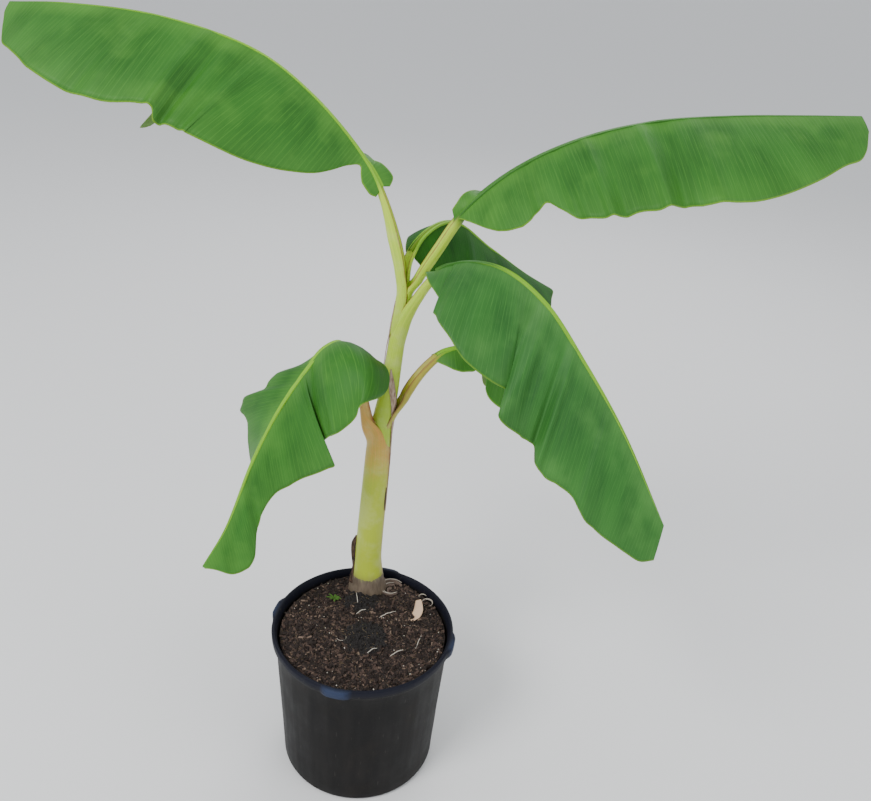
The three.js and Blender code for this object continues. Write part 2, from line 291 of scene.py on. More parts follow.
def add_piece(name, bm, materials, slot, *nodes):
    """A mesh object from a bmesh. It rides on the plant and may replace solids."""
    mesh = bpy.data.meshes.new(name)
    bm.to_mesh(mesh)
    bm.free()
    for material in materials:
        mesh.materials.append(material)
    mesh.shade_smooth()
    piece = add_object(name, mesh)
    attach(piece, BODY)
    if nodes:
        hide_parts(*nodes)
    print(name, len(mesh.polygons), "faces")
    return piece


def close_up(bm):
    """Welds the seam of a rolled grid, closes its ends and turns its faces outwards."""
    bmesh.ops.remove_doubles(bm, verts=bm.verts, dist=WELD)
    ends = [edge for edge in bm.edges if edge.is_boundary]
    bmesh.ops.holes_fill(bm, edges=ends, sides=0)
    bmesh.ops.recalc_face_normals(bm, faces=bm.faces)


def spin_round(bm, steps):
    """Spins everything in a mesh once round the pot's axis."""
    bmesh.ops.spin(
        bm, geom=bm.verts[:] + bm.edges[:], steps=steps, use_merge=True,
        use_duplicate=False, **POT_AXIS,
    )


def add_skins(piece, thickness):
    """Gives a sheet two skins, half of the thickness on each side."""
    skins = piece.modifiers.new("skins", "SOLIDIFY")
    skins.thickness = thickness * MM
    skins.offset = 0
    return skins


def facing(angle):
    """The level direction at an angle."""
    return Vector((math.cos(angle), math.sin(angle), 0))


def smooth(table, station):
    """The value at a station of the soft curve through a few (station, value) pairs."""
    last = len(table) - 1
    if last == 0:
        return table[0][1]
    s = min(max(station, table[0][0]), table[last][0])
    k = 0
    while k < last - 1 and s > table[k + 1][0]:
        k += 1

    def rise(i):
        return (table[i + 1][1] - table[i][1]) / (table[i + 1][0] - table[i][0])

    def slope(i):
        if i == 0:
            return rise(0)
        if i == last:
            return rise(last - 1)
        before, after = rise(i - 1), rise(i)
        return 0 if before * after <= 0 else 2 * before * after / (before + after)

    h = table[k + 1][0] - table[k][0]
    u = (s - table[k][0]) / h
    start = (1 + 2 * u) * (1 - u) ** 2 * table[k][1] + u * (1 - u) ** 2 * h * slope(k)
    end = u * u * (3 - 2 * u) * table[k + 1][1] + u * u * (u - 1) * h * slope(k + 1)
    return start + end


def soft_step(low, high, value):
    """0 below low, 1 above high and a soft step between them."""
    part = min(max((value - low) / (high - low), 0), 1)
    return part * part * (3 - 2 * part)


def mixed(a, b, part):
    """The value between a and b."""
    return a + (b - a) * part


# %% [markdown]
# ## The plan of the stem
#
# The stem stands upright at its foot and leans to the right higher up. Pairs of
# numbers give how far its middle has moved at a height, and how thick it is there.
# All lengths in the plan are millimetres and all angles degrees. The heights count
# from a level a little above the floor.

# %% The plan of the stem
PLANT_DATUM = 8
STEM_FOOT_Y = 95
STEM_LINE = [
    (232, -4), (300, -4.5), (350, -3), (420, 0), (485, 2.8), (527, 4.5),
    (569, 10), (610, 15.5), (650, 19), (700, 23), (752, 29),
]
STEM_RADII = [
    (232, 30), (245, 29), (258, 26), (279, 23.5), (302, 21.3), (336, 20.8), (419, 20),
    (502, 18.8), (544, 17.2), (580, 15.2), (632, 13.4), (669, 13), (710, 14), (752, 13.6),
]


def stem_middle(height):
    """The middle of the stem at a height."""
    return Vector((smooth(STEM_LINE, height - PLANT_DATUM), STEM_FOOT_Y, height))


def stem_radius(height):
    """The outer radius of the stem at a height."""
    return smooth(STEM_RADII, height - PLANT_DATUM)


for height in (STEM_RADII[0][0], STEM_RADII[-1][0]):
    print("stem radius at", height, "mm:", round(stem_radius(height + PLANT_DATUM), 1), "mm")

# %% [markdown]
# ## The plan of the leaves
#
# Each leaf grows in an upright plane through its foot in the stem. A few stations
# of that plane give the line of the stalk and midrib. Tables along the midrib give
# each half of the blade, 1 for its right and -1 for its left: its width, how it
# droops and curls, and how its veins sweep towards the tip. The foot, the path and
# the length of the stalk up to its neck are in millimetres.

# %% The plan of the leaves
LEAVES = {
    "left": {
        "azimuth": 179, "neck": 148, "foot": (38, 95),
        "petiole": [(0, 10.7), (0.5, 10.4), (0.72, 8.2), (0.88, 6.6), (1, 6)],
        "path": [(5, 758), (9.7, 792), (19, 830), (46, 899), (76, 944), (137, 1007),
                 (206, 1053), (321, 1083), (436, 1089), (508, 1085)],
        "halves": {
            -1: {
                "width": [(0, 17), (0.018, 24), (0.04, 25), (0.06, 20), (0.075, 14),
                          (0.1, 29), (0.125, 54), (0.15, 75), (0.2, 103), (0.25, 126),
                          (0.3, 144), (0.37, 157), (0.42, 152), (0.48, 149), (0.51, 148),
                          (0.53, 134), (0.56, 131), (0.65, 142), (0.7, 138), (0.8, 115),
                          (0.85, 97), (0.9, 80), (0.95, 63), (0.98, 42), (1, 16)],
                "droop": [(0, 40), (0.3, 35), (1, 40)],
                "curl": [(0, 15)],
                "sweep": [(0, -25), (0.05, -8), (0.1, -8), (0.2, -5), (0.3, 5), (0.375, 13),
                          (0.4, 11), (0.6, 14), (0.7, 24), (0.8, 32), (0.9, 32), (1, 14)],
            },
            1: {
                "width": [(0, 12), (0.02, 25), (0.045, 22), (0.06, 16), (0.1, 75),
                          (0.15, 125), (0.25, 170), (0.4, 175), (0.425, 174), (0.435, 214),
                          (0.475, 220), (0.49, 170), (0.6, 155), (0.8, 105), (0.9, 70),
                          (0.96, 40), (1, 8)],
                "droop": [(0, -50), (0.05, -30), (0.11, 45), (0.3, 62), (1, 50)],
                "curl": [(0, 10)],
                "sweep": [(0, -25), (0.05, 0), (0.1, 12), (0.3, 25), (1, 40)],
            },
        },
    },
    "right": {
        "azimuth": 6, "neck": 123, "foot": (43, 95),
        "petiole": [(0, 8.5), (0.5, 9), (1, 8.5)],
        "path": [(-11, 755), (0, 783), (23, 825), (52, 872), (115, 931), (195, 975),
                 (288, 1003), (388, 1016), (480, 1022), (563, 1026)],
        "halves": {
            1: {
                "width": [(0, 6), (0.02, 12), (0.04, 25), (0.06, 41), (0.08, 58), (0.1, 73),
                          (0.125, 84), (0.16, 90), (0.18, 89), (0.2, 82), (0.225, 75),
                          (0.25, 95), (0.275, 116), (0.3, 127), (0.35, 138), (0.42, 141),
                          (0.475, 147), (0.5, 143), (0.53, 140), (0.56, 147), (0.65, 147),
                          (0.7, 141), (0.8, 115), (0.9, 87), (0.94, 79), (0.97, 62), (1, 28)],
                "droop": [(0, 10), (0.08, 25), (1, 25)],
                "curl": [(0, 15)],
                "sweep": [(0, -35), (0.06, -18), (0.14, -8), (0.17, -10), (0.3, -3), (0.6, 2),
                          (0.7, 8), (0.8, 15), (0.9, 10), (1, 3)],
            },
            -1: {
                "width": [(0, 12), (0.02, 14), (0.06, 25), (0.15, 95), (0.25, 140),
                          (0.4, 160), (0.55, 158), (0.7, 130), (0.9, 70), (0.96, 42), (1, 14)],
                "droop": [(0, -78), (0.03, -58), (0.06, -15), (0.1, 40), (0.5, 58),
                          (0.75, 40), (1, 20)],
                "curl": [(0, 15)],
                "sweep": [(0, 36), (0.04, 22), (0.1, 8), (0.3, 22), (1, 38)],
            },
        },
    },
    "front_right": {
        "azimuth": -35, "neck": 129, "foot": (27, 95),
        "petiole": [(0, 11.5), (0.3, 10.6), (0.6, 8), (1, 6.5)],
        "path": [(-5, 688), (3, 727), (20.5, 757), (48, 795), (86, 823), (153, 833),
                 (220, 807), (286, 747), (353, 674), (425, 573)],
        "halves": {
            1: {
                "width": [(0, 18), (0.02, 30), (0.04, 47), (0.06, 63), (0.07, 68), (0.078, 90),
                          (0.1, 97), (0.12, 112), (0.15, 127), (0.175, 138), (0.2, 143),
                          (0.25, 145), (0.295, 140), (0.315, 164), (0.35, 166), (0.4, 158),
                          (0.45, 145), (0.475, 141), (0.495, 152), (0.53, 153), (0.575, 143),
                          (0.65, 131), (0.7, 131), (0.75, 122), (0.8, 111), (0.85, 98),
                          (0.9, 85), (0.95, 71), (1, 45)],
                "droop": [(0, -25), (0.02, 8), (0.04, 21), (0.06, 32), (0.07, 36),
                          (0.078, 24), (0.12, 24), (0.3, 40), (1, 45)],
                "curl": [(0, 15)],
                "sweep": [(0, -6), (0.02, -10), (0.04, -2), (0.06, 3), (0.07, 6), (0.078, 3),
                          (0.1, 4), (0.12, 8), (0.15, 12), (0.2, 17), (0.295, 34),
                          (0.315, 31), (0.4, 39), (0.6, 43), (0.8, 47), (1, 52)],
            },
            -1: {
                "width": [(0, 18), (0.05, 50), (0.17, 110), (0.32, 132), (0.53, 120),
                          (0.68, 108), (0.9, 78), (0.96, 56), (1, 12)],
                "droop": [(0, -30), (0.04, -6), (0.09, 22), (0.15, 38), (0.35, 46), (1, 60)],
                "curl": [(0, 10)],
                "sweep": [(0, -35), (0.13, 10), (0.4, 30), (1, 38)],
            },
        },
    },
    "front_left": {
        "azimuth": 212, "neck": 156, "foot": (0, 95),
        "petiole": [(0, 13), (0.15, 13.2), (0.3, 11.5), (0.45, 9.2), (0.6, 8), (1, 7.5)],
        "path": [(-8, 505), (3, 536), (11.5, 562), (23, 607), (39, 658), (62, 690),
                 (88, 684), (116, 654), (156, 600), (194, 528), (237, 424), (271, 371)],
        "halves": {
            1: {
                "width": [(0, 22), (0.1, 34), (0.2, 42), (0.23, 52), (0.26, 70), (0.3, 88),
                          (0.33, 122), (0.36, 130), (0.39, 106), (0.42, 88), (0.46, 78),
                          (0.5, 74), (0.55, 66), (0.6, 46), (0.7, 26), (1, 5)],
                "droop": [(0, 50), (0.15, 38), (0.22, 12), (0.26, -4), (0.4, -2), (0.46, 2),
                          (0.52, 12), (0.6, 30), (1, 50)],
                "curl": [(0, 20)],
                "sweep": [(0, -10), (0.15, 10), (0.22, 24), (0.3, 31), (1, 50)],
            },
            -1: {
                "width": [(0, 60), (0.05, 112), (0.1, 143), (0.15, 140), (0.2, 119),
                          (0.245, 116), (0.27, 134), (0.3, 128), (0.35, 119), (0.4, 111),
                          (0.5, 89), (0.56, 83), (0.67, 81), (0.73, 96), (0.77, 93),
                          (0.8, 86), (0.85, 71), (0.9, 50), (1, 5)],
                "droop": [(0, -60), (0.05, -40), (0.1, -25), (0.2, 0), (0.25, 20), (0.4, 45)],
                "curl": [(0, 75), (0.1, 95), (0.2, 75), (0.3, 30), (1, 20)],
                "sweep": [(0, 0), (0.05, -10), (0.1, 4), (0.18, 33), (0.24, 45),
                          (0.27, 32), (0.4, 50), (0.6, 58), (0.85, 54), (1, 25)],
            },
        },
    },
    "back": {
        "azimuth": 52, "neck": 75, "foot": (24, 104),
        "petiole": [(0, 9), (1, 6.5)],
        "path": [(0, 740), (7, 799), (43, 830), (100, 837), (200, 778), (310, 711), (392, 666)],
        "halves": {
            1: {
                "width": [(0, 15), (0.05, 60), (0.2, 105), (0.5, 110), (0.75, 82), (0.9, 36),
                          (0.97, 15), (1, 5)],
                "droop": [(0, 58), (0.2, 56), (0.5, 42), (0.9, 20), (1, 0)],
                "curl": [(0, 25)],
                "sweep": [(0, -30), (0.15, 0), (0.5, 18), (1, 35)],
            },
            -1: {
                "width": [(0, 10), (0.05, 26), (0.2, 72), (0.5, 98), (0.75, 80), (0.9, 50),
                          (0.97, 26), (1, 6)],
                "droop": [(0, 8), (0.12, 20), (0.3, 45), (0.6, 55), (0.9, 30), (1, 0)],
                "curl": [(0, 20)],
                "sweep": [(0, -30), (0.2, 5), (0.6, 18), (1, 35)],
            },
        },
    },
    "small": {
        "azimuth": 15, "neck": 127, "foot": (29, 95),
        "petiole": [(0, 9.5), (0.4, 9), (0.75, 8), (1, 7)],
        "path": [(-4, 553), (1, 580), (8, 605), (36, 646), (65, 668), (117, 669),
                 (183, 628), (240, 562)],
        "halves": {
            1: {
                "width": [(0, 12), (0.06, 26), (0.1, 35), (0.15, 40), (0.2, 40), (0.25, 34),
                          (0.3, 36), (0.335, 38), (0.36, 62), (0.42, 74), (0.5, 78),
                          (0.7, 66), (0.85, 46), (0.95, 26), (1, 6)],
                "droop": [(0, 30)],
                "curl": [(0, 25)],
                "sweep": [(0, -40), (0.1, -8), (0.31, 12), (0.36, 2), (0.6, 15), (1, 30)],
            },
            -1: {
                "width": [(0, 16), (0.05, 22), (0.2, 26), (0.33, 30), (0.5, 62), (0.7, 62),
                          (0.85, 44), (0.95, 26), (1, 6)],
                "droop": [(0, 5), (0.1, 40), (0.5, 55), (1, 30)],
                "curl": [(0, 20)],
                "sweep": [(0, -35), (0.15, 0), (0.6, 15), (1, 30)],
            },
        },
    },
}

# %% [markdown]
# ## The line of a leaf
#
# Straight pieces between the stations would kink, so the line is a soft curve that
# passes through every one of them and doesn't swing out between close ones. It is
# walked in small steps, so that any place on it can be found by its distance from
# the foot.

# %% The line of a leaf
STEPS_PER_SPAN = 24
END_GAP = 1e-6
LOOK_AROUND = 3


def spline(points):
    """Many points on a soft curve through the given ones."""
    ends = [points[0] * 2 - points[1], *points, points[-1] * 2 - points[-2]]
    line = []
    for p0, p1, p2, p3 in zip(ends, ends[1:], ends[2:], ends[3:]):
        t1 = (p1 - p0).length ** 0.5
        t2 = t1 + (p2 - p1).length ** 0.5
        t3 = t2 + (p3 - p2).length ** 0.5
        for step in range(STEPS_PER_SPAN):
            t = mixed(t1, t2, step / STEPS_PER_SPAN)
            a1 = p0.lerp(p1, t / t1)
            a2 = p1.lerp(p2, (t - t1) / (t2 - t1))
            a3 = p2.lerp(p3, (t - t2) / (t3 - t2))
            b1 = a1.lerp(a2, t / t2)
            b2 = a2.lerp(a3, (t - t1) / (t3 - t1))
            line.append(b1.lerp(b2, (t - t1) / (t2 - t1)))
    line.append(points[-1].copy())
    return line


class LeafLine:
    """The line of a stalk and midrib, with the directions along, aside and up."""

    def __init__(self, leaf):
        turn = math.radians(leaf["azimuth"])
        foot = Vector((*leaf["foot"], PLANT_DATUM))
        out = facing(turn)
        self.aside = Vector((math.sin(turn), -math.cos(turn), 0))
        points = [foot + out * reach + Vector((0, 0, height)) for reach, height in leaf["path"]]
        self.points = spline(points)
        self.ways = [0.0]
        for a, b in zip(self.points, self.points[1:]):
            self.ways.append(self.ways[-1] + (b - a).length)
        self.length = self.ways[-1]
        self.neck = leaf["neck"]
        self.blade_length = self.length - self.neck

    def at(self, way):
        """The point at a distance along the line, also a little past its ends."""
        inside = min(max(way, 0), self.length - END_GAP)
        low, high = 0, len(self.ways) - 1
        while high - low > 1:
            middle = (low + high) // 2
            if self.ways[middle] <= inside:
                low = middle
            else:
                high = middle
        part = (way - self.ways[low]) / (self.ways[high] - self.ways[low])
        return self.points[low].lerp(self.points[high], part)

    def frame(self, way):
        """The point and the unit directions along, aside and up there."""
        along = (self.at(way + LOOK_AROUND) - self.at(way - LOOK_AROUND)).normalized()
        aside = (self.aside - along * self.aside.dot(along)).normalized()
        return self.at(way), along, aside, aside.cross(along)


LINES = {name: LeafLine(leaf) for name, leaf in LEAVES.items()}
for name, line in LINES.items():
    print(name, "stalk", round(line.neck), "mm, blade", round(line.blade_length), "mm")

# %% [markdown]
# ## Leaf blades
#
# A banana leaf is one thin sheet on each side of the midrib, with hundreds of
# parallel veins that make it faintly corrugated, and broad waves and folds where
# it gives way between veins. The sheet could be cloth in a simulation, but its
# shape is grown, not draped, so a flat grid is bent by the rule of the plan. The
# rows of the grid run along the veins, and its columns are closest at the midrib.
# Each fold has its station, its spread, its height and, where it slants, how far
# it has moved at the midrib. A Solidify modifier gives the sheet its two skins.

# %% Leaf blades
BLADE_ROW = 1.8
BLADE_COLUMNS = 22
BLADE_THICKNESS = 0.9
COLUMN_CROWDING = 1.5
CORRUGATION = {"length": 5.6, "height": 0.16, "drift": 4.2, "drift_length": 22}
WAVE = {"length": 48, "height": 2.4, "across": 0.6, "power": 1.2}
FOLD_POWER = 0.6
CALM_AT_NECK = 0.06
CALM_AT_TIP = 0.07
PATTERN_SHIFT = 40
RIB_SHARE = 0.6
RIB_WIDTH = [(0, 1), (0.2, 0.8), (0.6, 0.45), (1, 0.14)]
RIB_BARE_FROM = {"right": (1.1, 1.2), "front_right": (0.12, 0.3)}
RIB_ALL_BARE = (-0.2, -0.1)
FOLDS = {
    ("left", -1): [(0.497, 0.014, -9), (0.538, 0.015, 9), (0.43, 0.02, -4), (0.4, 0.018, 3),
                   (0.66, 0.02, 3), (0.7, 0.02, -4)],
    ("right", 1): [(0.28, 0.014, -5), (0.35, 0.013, 7), (0.385, 0.015, -5),
                   (0.478, 0.015, 9), (0.526, 0.022, -11), (0.6, 0.02, 4), (0.21, 0.014, -4)],
    ("front_right", 1): [(0.12, 0.012, 4), (0.17, 0.015, -4), (0.283, 0.02, -10, 0.07),
                         (0.333, 0.018, 7, 0.07), (0.37, 0.03, -5, 0.04), (0.505, 0.013, 8),
                         (0.47, 0.014, -6), (0.68, 0.02, 4)],
    ("front_left", -1): [(0.225, 0.02, -7), (0.27, 0.012, 5), (0.36, 0.03, -4),
                         (0.66, 0.03, -5)],
    ("front_left", 1): [(0.3, 0.012, -4), (0.33, 0.012, 4)],
    ("back", 1): [(0.3, 0.03, 5), (0.5, 0.03, -5)],
    ("small", 1): [(0.3, 0.02, -3), (0.5, 0.03, 3)],
}


def rib_bare(name, station):
    """0 where the blade closes over the midrib, 1 where the midrib is bare."""
    low, high = RIB_BARE_FROM.get(name, RIB_ALL_BARE)
    return soft_step(low, high, station)


def blade_point(leaf, line, station, across, lift):
    """A point on the blade and how wide its half is there.

    The station runs from 0 at the neck to 1 at the tip, and across from -1 to 1.
    """
    side = 1 if across > 0 else -1
    half = leaf["halves"][side]
    t = abs(across)
    middle, along, aside, up = line.frame(line.neck + line.blade_length * station)
    droop = math.radians(smooth(half["droop"], station))
    curl = math.radians(smooth(half["curl"], station))
    sweep = math.radians(smooth(half["sweep"], station))
    width = smooth(half["width"], station)
    tilt = droop + curl * t
    outward = (math.sin(tilt) - math.sin(droop)) / curl
    fall = (math.cos(droop) - math.cos(tilt)) / curl
    point = middle + aside * (side * width * outward * math.cos(sweep))
    point += along * (width * t * math.sin(sweep))
    point -= up * (width * fall * math.cos(sweep))
    normal = up * math.cos(tilt) + aside * (side * math.sin(tilt))
    return point + normal * lift, width


def blade_lift(name, line, seed, station, across):
    """How far the sheet stands up from its smooth shape, and the count of veins."""
    way = line.blade_length * station
    t = abs(across)
    side = 1 if across > 0 else -1
    veins = way / CORRUGATION["length"]
    drift_place = Vector((way / CORRUGATION["drift_length"], seed + side, 0))
    drift = CORRUGATION["drift"] * noise.noise(drift_place)
    pleat = math.sin(2 * math.pi * veins + drift)
    lift = CORRUGATION["height"] * pleat * soft_step(0, 0.15, t) * (1 - 0.5 * t)
    wave_place = Vector((way / WAVE["length"], t * WAVE["across"], seed + 7 * side))
    lift += WAVE["height"] * noise.noise(wave_place) * t ** WAVE["power"]
    for at, spread, height, *slant in FOLDS.get((name, side), ()):
        middle = at + sum(slant) * (1 - t)
        hump = math.exp(-(((station - middle) / spread) ** 2))
        lift += height * t ** FOLD_POWER * hump
    calm = soft_step(0, CALM_AT_NECK, station) * soft_step(1, 1 - CALM_AT_TIP, station)
    return lift * calm, veins + drift / (2 * math.pi)


def make_blade(name, seed, materials, *nodes):
    """One leaf blade: a grid whose rows run along its veins, bent by the plan."""
    leaf = LEAVES[name]
    line = LINES[name]
    bm = bmesh.new()
    bm.loops.layers.uv.new("veins")
    rows = round(line.blade_length / BLADE_ROW)
    bmesh.ops.create_grid(
        bm, x_segments=rows, y_segments=2 * BLADE_COLUMNS, size=1, calc_uvs=True
    )
    way_layer = bm.verts.layers.float.new("way")
    pleat_layer = bm.verts.layers.float.new("pleat")
    half_layer = bm.verts.layers.float.new("rib_half")
    rib_layer = bm.verts.layers.float.new("from_rib")
    edge_layer = bm.verts.layers.float.new("from_edge")
    neck_width = RIB_SHARE * leaf["petiole"][-1][1]
    for vertex in bm.verts:
        station = (vertex.co.x + 1) / 2
        across = math.copysign(abs(vertex.co.y) ** COLUMN_CROWDING, vertex.co.y)
        lift, pleat = blade_lift(name, line, seed, station, across)
        point, width = blade_point(leaf, line, station, across, lift)
        vertex.co = point * MM
        vertex[way_layer] = (line.blade_length * station + PATTERN_SHIFT * seed) * MM
        vertex[pleat_layer] = pleat
        rib_half = neck_width * smooth(RIB_WIDTH, station)
        vertex[half_layer] = (rib_half * rib_bare(name, station) - 1) * MM
        vertex[rib_layer] = abs(across) * width * MM
        vertex[edge_layer] = (1 - abs(across)) * width * MM
    bmesh.ops.reverse_faces(bm, faces=bm.faces)
    piece = add_piece(f"leaf_{name}", bm, materials, "leaf", *nodes)
    skins = add_skins(piece, BLADE_THICKNESS)
    skins.material_offset = 1
    skins.material_offset_rim = 0


# %% [markdown]
# ## Finish of the leaves
#
# The upper side is a satin mid green. Fine light lines run along the veins, the
# blade turns yellower towards the midrib and has a pale, thin margin. The
# underside is a paler, waxy green. Both skins read the distances that the mesh
# carries, so the lines follow every fold. A picture of a leaf could be laid on it
# too, but lines made from distances stay sharp at any size.

# %% Finish of the leaves


def leaf_finish(name, deep, fresh, line_colour, edge_colour, rib_colour, roughness):
    """A banana leaf's skin: a light line along each vein and soft streaks between."""
    recipe = Recipe(name, roughness, 0.2)
    way = recipe.attribute("way")
    from_rib = recipe.attribute("from_rib")
    from_edge = recipe.attribute("from_edge")
    pleat = recipe.attribute("pleat")
    rib_half = recipe.attribute("rib_half")

    def streaks(across_veins, along_veins):
        x = recipe.math("MULTIPLY", way, across_veins)
        y = recipe.math("MULTIPLY", from_rib, along_veins)
        return recipe.noise(recipe.pair(x, y), 1.0, 2.0)

    broad = streaks(24, 9)
    middle = streaks(330, 16)
    fine = streaks(1500, 30)
    base = recipe.mix(recipe.ramp(broad, 0.25, 0.75), deep, fresh)
    cloud = recipe.noise(recipe.place(), 17.0, 3.0, 0.55)
    base = recipe.over(base, line_colour, recipe.ramp(cloud, 0.48, 0.75), 0.26)
    base = recipe.over(base, line_colour, recipe.ramp(from_edge, 0.06, 0.0), 0.16)
    base = recipe.over(base, fresh, recipe.ramp(middle, 0.35, 0.7), 0.3)
    vein = recipe.math("PINGPONG", pleat, 0.5)
    light_vein = recipe.math("MULTIPLY", recipe.ramp(vein, 0.42, 0.5), middle)
    base = recipe.over(base, line_colour, light_vein, 0.5)
    base = recipe.over(base, line_colour, recipe.ramp(fine, 0.5, 0.8), 0.3)
    base = recipe.over(base, line_colour, recipe.ramp(from_rib, 0.03, 0.004), 0.25)
    base = recipe.over(base, edge_colour, recipe.ramp(from_edge, 0.0026, 0.0006), 0.7)
    past_rib = recipe.math("SUBTRACT", from_rib, rib_half)
    on_rib = recipe.ramp(past_rib, 0.0006, -0.0004)
    base = recipe.mix(on_rib, base, rib_colour)
    relief = recipe.math("ADD", middle, recipe.math("MULTIPLY", fine, 0.5))
    normal = recipe.bump(relief, 0.0009, 0.5)
    return recipe.finish(base, normal)


RIB_GREEN = colour(132, 188, 44)
LEAF_TOP = leaf_finish(
    "leaf_upper_skin", colour(36, 90, 26), colour(54, 114, 38), colour(98, 160, 60),
    colour(126, 170, 44), RIB_GREEN, 0.52,
)
LEAF_UNDER = leaf_finish(
    "leaf_lower_skin", colour(84, 122, 56), colour(104, 142, 72), colour(136, 166, 98),
    colour(150, 166, 86), colour(150, 176, 84), 0.6,
)
LEAF_TOP_COOL = leaf_finish(
    "leaf_cool_skin", colour(32, 83, 31), colour(50, 108, 42), colour(94, 152, 72),
    colour(112, 156, 42), RIB_GREEN, 0.52,
)
# Painted shade: a darker copy of the upper skin for the shaded leaf at the back.
LEAF_TOP_PAINTED_SHADE = leaf_finish(
    "leaf_shaded_skin", colour(12, 62, 6), colour(28, 92, 12), colour(60, 120, 30),
    colour(100, 130, 40), colour(110, 140, 40), 0.6,
)

# %% [markdown]
# On the real plant the front right leaf is a cooler green. The leaf at the back
# stands in shade, and its darker upper skin is painted shade. Each blade stands in
# for one or two solids, because the solid of a leaf that bends over a wide gap is
# split at the bend.

# %% The six blades
make_blade("left", 1, [LEAF_TOP, LEAF_UNDER], "blade_left")
make_blade("right", 2, [LEAF_TOP, LEAF_UNDER], "blade_right")
make_blade(
    "front_right", 3, [LEAF_TOP_COOL, LEAF_UNDER],
    "blade_front_right_inner", "blade_front_right_outer",
)
make_blade(
    "front_left", 4, [LEAF_TOP, LEAF_UNDER],
    "blade_front_left_inner", "blade_front_left_outer",
)
make_blade(
    "back", 5, [LEAF_TOP_PAINTED_SHADE, LEAF_UNDER], "blade_back_inner", "blade_back_outer",
)
make_blade("small", 6, [LEAF_TOP, LEAF_UNDER], "blade_small")

# %% [markdown]
# ## Sheaths, stalks and midribs
#
# A banana plant has no wooden trunk. Each leaf begins as a sheath wrapped round
# the younger ones. Higher up the sheath narrows into a stalk with a channel on its
# upper side, and the stalk runs on under the blade as the midrib. All three are
# one part on the real plant, so they are one loft here: a grid is rolled round the
# line of the leaf, and its section changes from a thin open ring to a channelled
# half round and then to a slim rib.

# %% Sheaths, stalks and midribs
LOFT_ROW = 3.0
OUTER_COLUMNS = 26
INNER_COLUMNS = 14
RIB_RADII = [(0, 1), (0.06, 0.82), (0.2, 0.62), (0.5, 0.45), (0.8, 0.28), (1, 0.1)]
SINK_LIMIT = 127
BLADE_BLEND = 12
LIP_ROUNDING = 6
CHANNEL_ROUNDING = 2.2
CLING_RELEASE = 0.6


def sheath_section(leaf, line, way):
    """The ring on the stem and the channelled stalk at a distance along the line."""
    sheath = leaf["sheath"]
    inside = max(way, 0)
    point, _, aside, up = line.frame(inside)
    if way < 0:
        point = point + Vector((0, 0, way))
    stalk_radius = smooth(leaf["petiole"], min(inside / line.neck, 1))
    if way > line.neck:
        station = (way - line.neck) / line.blade_length
        stalk_radius = stalk_radius * smooth(RIB_RADII, station)
    open_angle = math.radians(smooth(sheath["open"], way))
    wall = smooth(sheath["wall"], way)
    sink = -math.cos(min(open_angle, math.radians(SINK_LIMIT)))
    stalk_middle = point - up * (stalk_radius * sink)
    level_up = Vector((up.x, up.y, 0)).normalized()
    level_aside = Vector((aside.x, aside.y, 0)).normalized()
    ring_radius = stem_radius(point.z) - sheath["layer"]
    ring = (stem_middle(point.z), level_aside, level_up, ring_radius, wall)
    return ring, (stalk_middle, aside, up, stalk_radius, wall * stalk_radius), open_angle


def section_point(frame, open_angle, channelled, turn):
    """A point of one section and its angle.

    The turn from 0 to 1 runs round the outside and then back along the inside.
    """
    middle, aside, up, radius, wall = frame
    outer_share = OUTER_COLUMNS / (OUTER_COLUMNS + INNER_COLUMNS)
    if turn <= outer_share:
        angle = mixed(-open_angle, open_angle, turn / outer_share)
        x, y = radius * math.sin(angle), -radius * math.cos(angle)
    else:
        part = mixed(1, -1, (turn - outer_share) / (1 - outer_share))
        angle = open_angle * part
        lip_up = -radius * math.cos(open_angle)
        if channelled:
            x = radius * math.sin(open_angle) * part
            depth = radius + lip_up - wall
            y = lip_up - depth * (1 - abs(part) ** CHANNEL_ROUNDING)
        else:
            inner = radius - wall * (1 - part ** LIP_ROUNDING)
            x, y = inner * math.sin(angle), -inner * math.cos(angle)
    return middle + aside * x + up * y, math.degrees(angle)


def make_stalk(name, material):
    """A leaf's sheath, stalk and midrib as one loft."""
    leaf = LEAVES[name]
    line = LINES[name]
    start = -leaf["sheath"]["depth"]
    leaves_stem, free = leaf["sheath"]["leaves"]
    cling = leaf["sheath"].get("cling", [(0, 0)])
    rows = round((line.length - start) / LOFT_ROW)
    columns = OUTER_COLUMNS + INNER_COLUMNS
    outer_share = OUTER_COLUMNS / columns
    bm = bmesh.new()
    bmesh.ops.create_grid(bm, x_segments=rows, y_segments=columns, size=1)
    lip_layer = bm.verts.layers.float.new("lip")
    way_layer = bm.verts.layers.float.new("way")
    blade_layer = bm.verts.layers.float.new("on_blade")
    bare_layer = bm.verts.layers.float.new("bare")
    sections = {}
    for vertex in bm.verts:
        row = round((vertex.co.x + 1) / 2 * rows)
        turn = (vertex.co.y + 1) / 2
        way = mixed(start, line.length, row / rows)
        if row not in sections:
            sections[row] = sheath_section(leaf, line, way)
        ring, stalk, open_angle = sections[row]
        on_stem, _ = section_point(ring, open_angle, False, turn)
        on_stalk, angle = section_point(stalk, open_angle, True, turn)
        delay = smooth(cling, angle)
        joined = soft_step(leaves_stem + delay, free + delay * CLING_RELEASE, way)
        vertex.co = on_stem.lerp(on_stalk, joined) * MM
        if turn <= outer_share:
            lip = abs(2 * turn / outer_share - 1)
        else:
            lip = abs(1 - 2 * (turn - outer_share) / (1 - outer_share))
        vertex[lip_layer] = lip
        vertex[way_layer] = way * MM
        vertex[blade_layer] = soft_step(line.neck - BLADE_BLEND, line.neck + BLADE_BLEND, way)
        vertex[bare_layer] = rib_bare(name, (way - line.neck) / line.blade_length)
    close_up(bm)
    add_piece(f"stalk_{name}", bm, [material], "petiole", f"petiole_{name}")


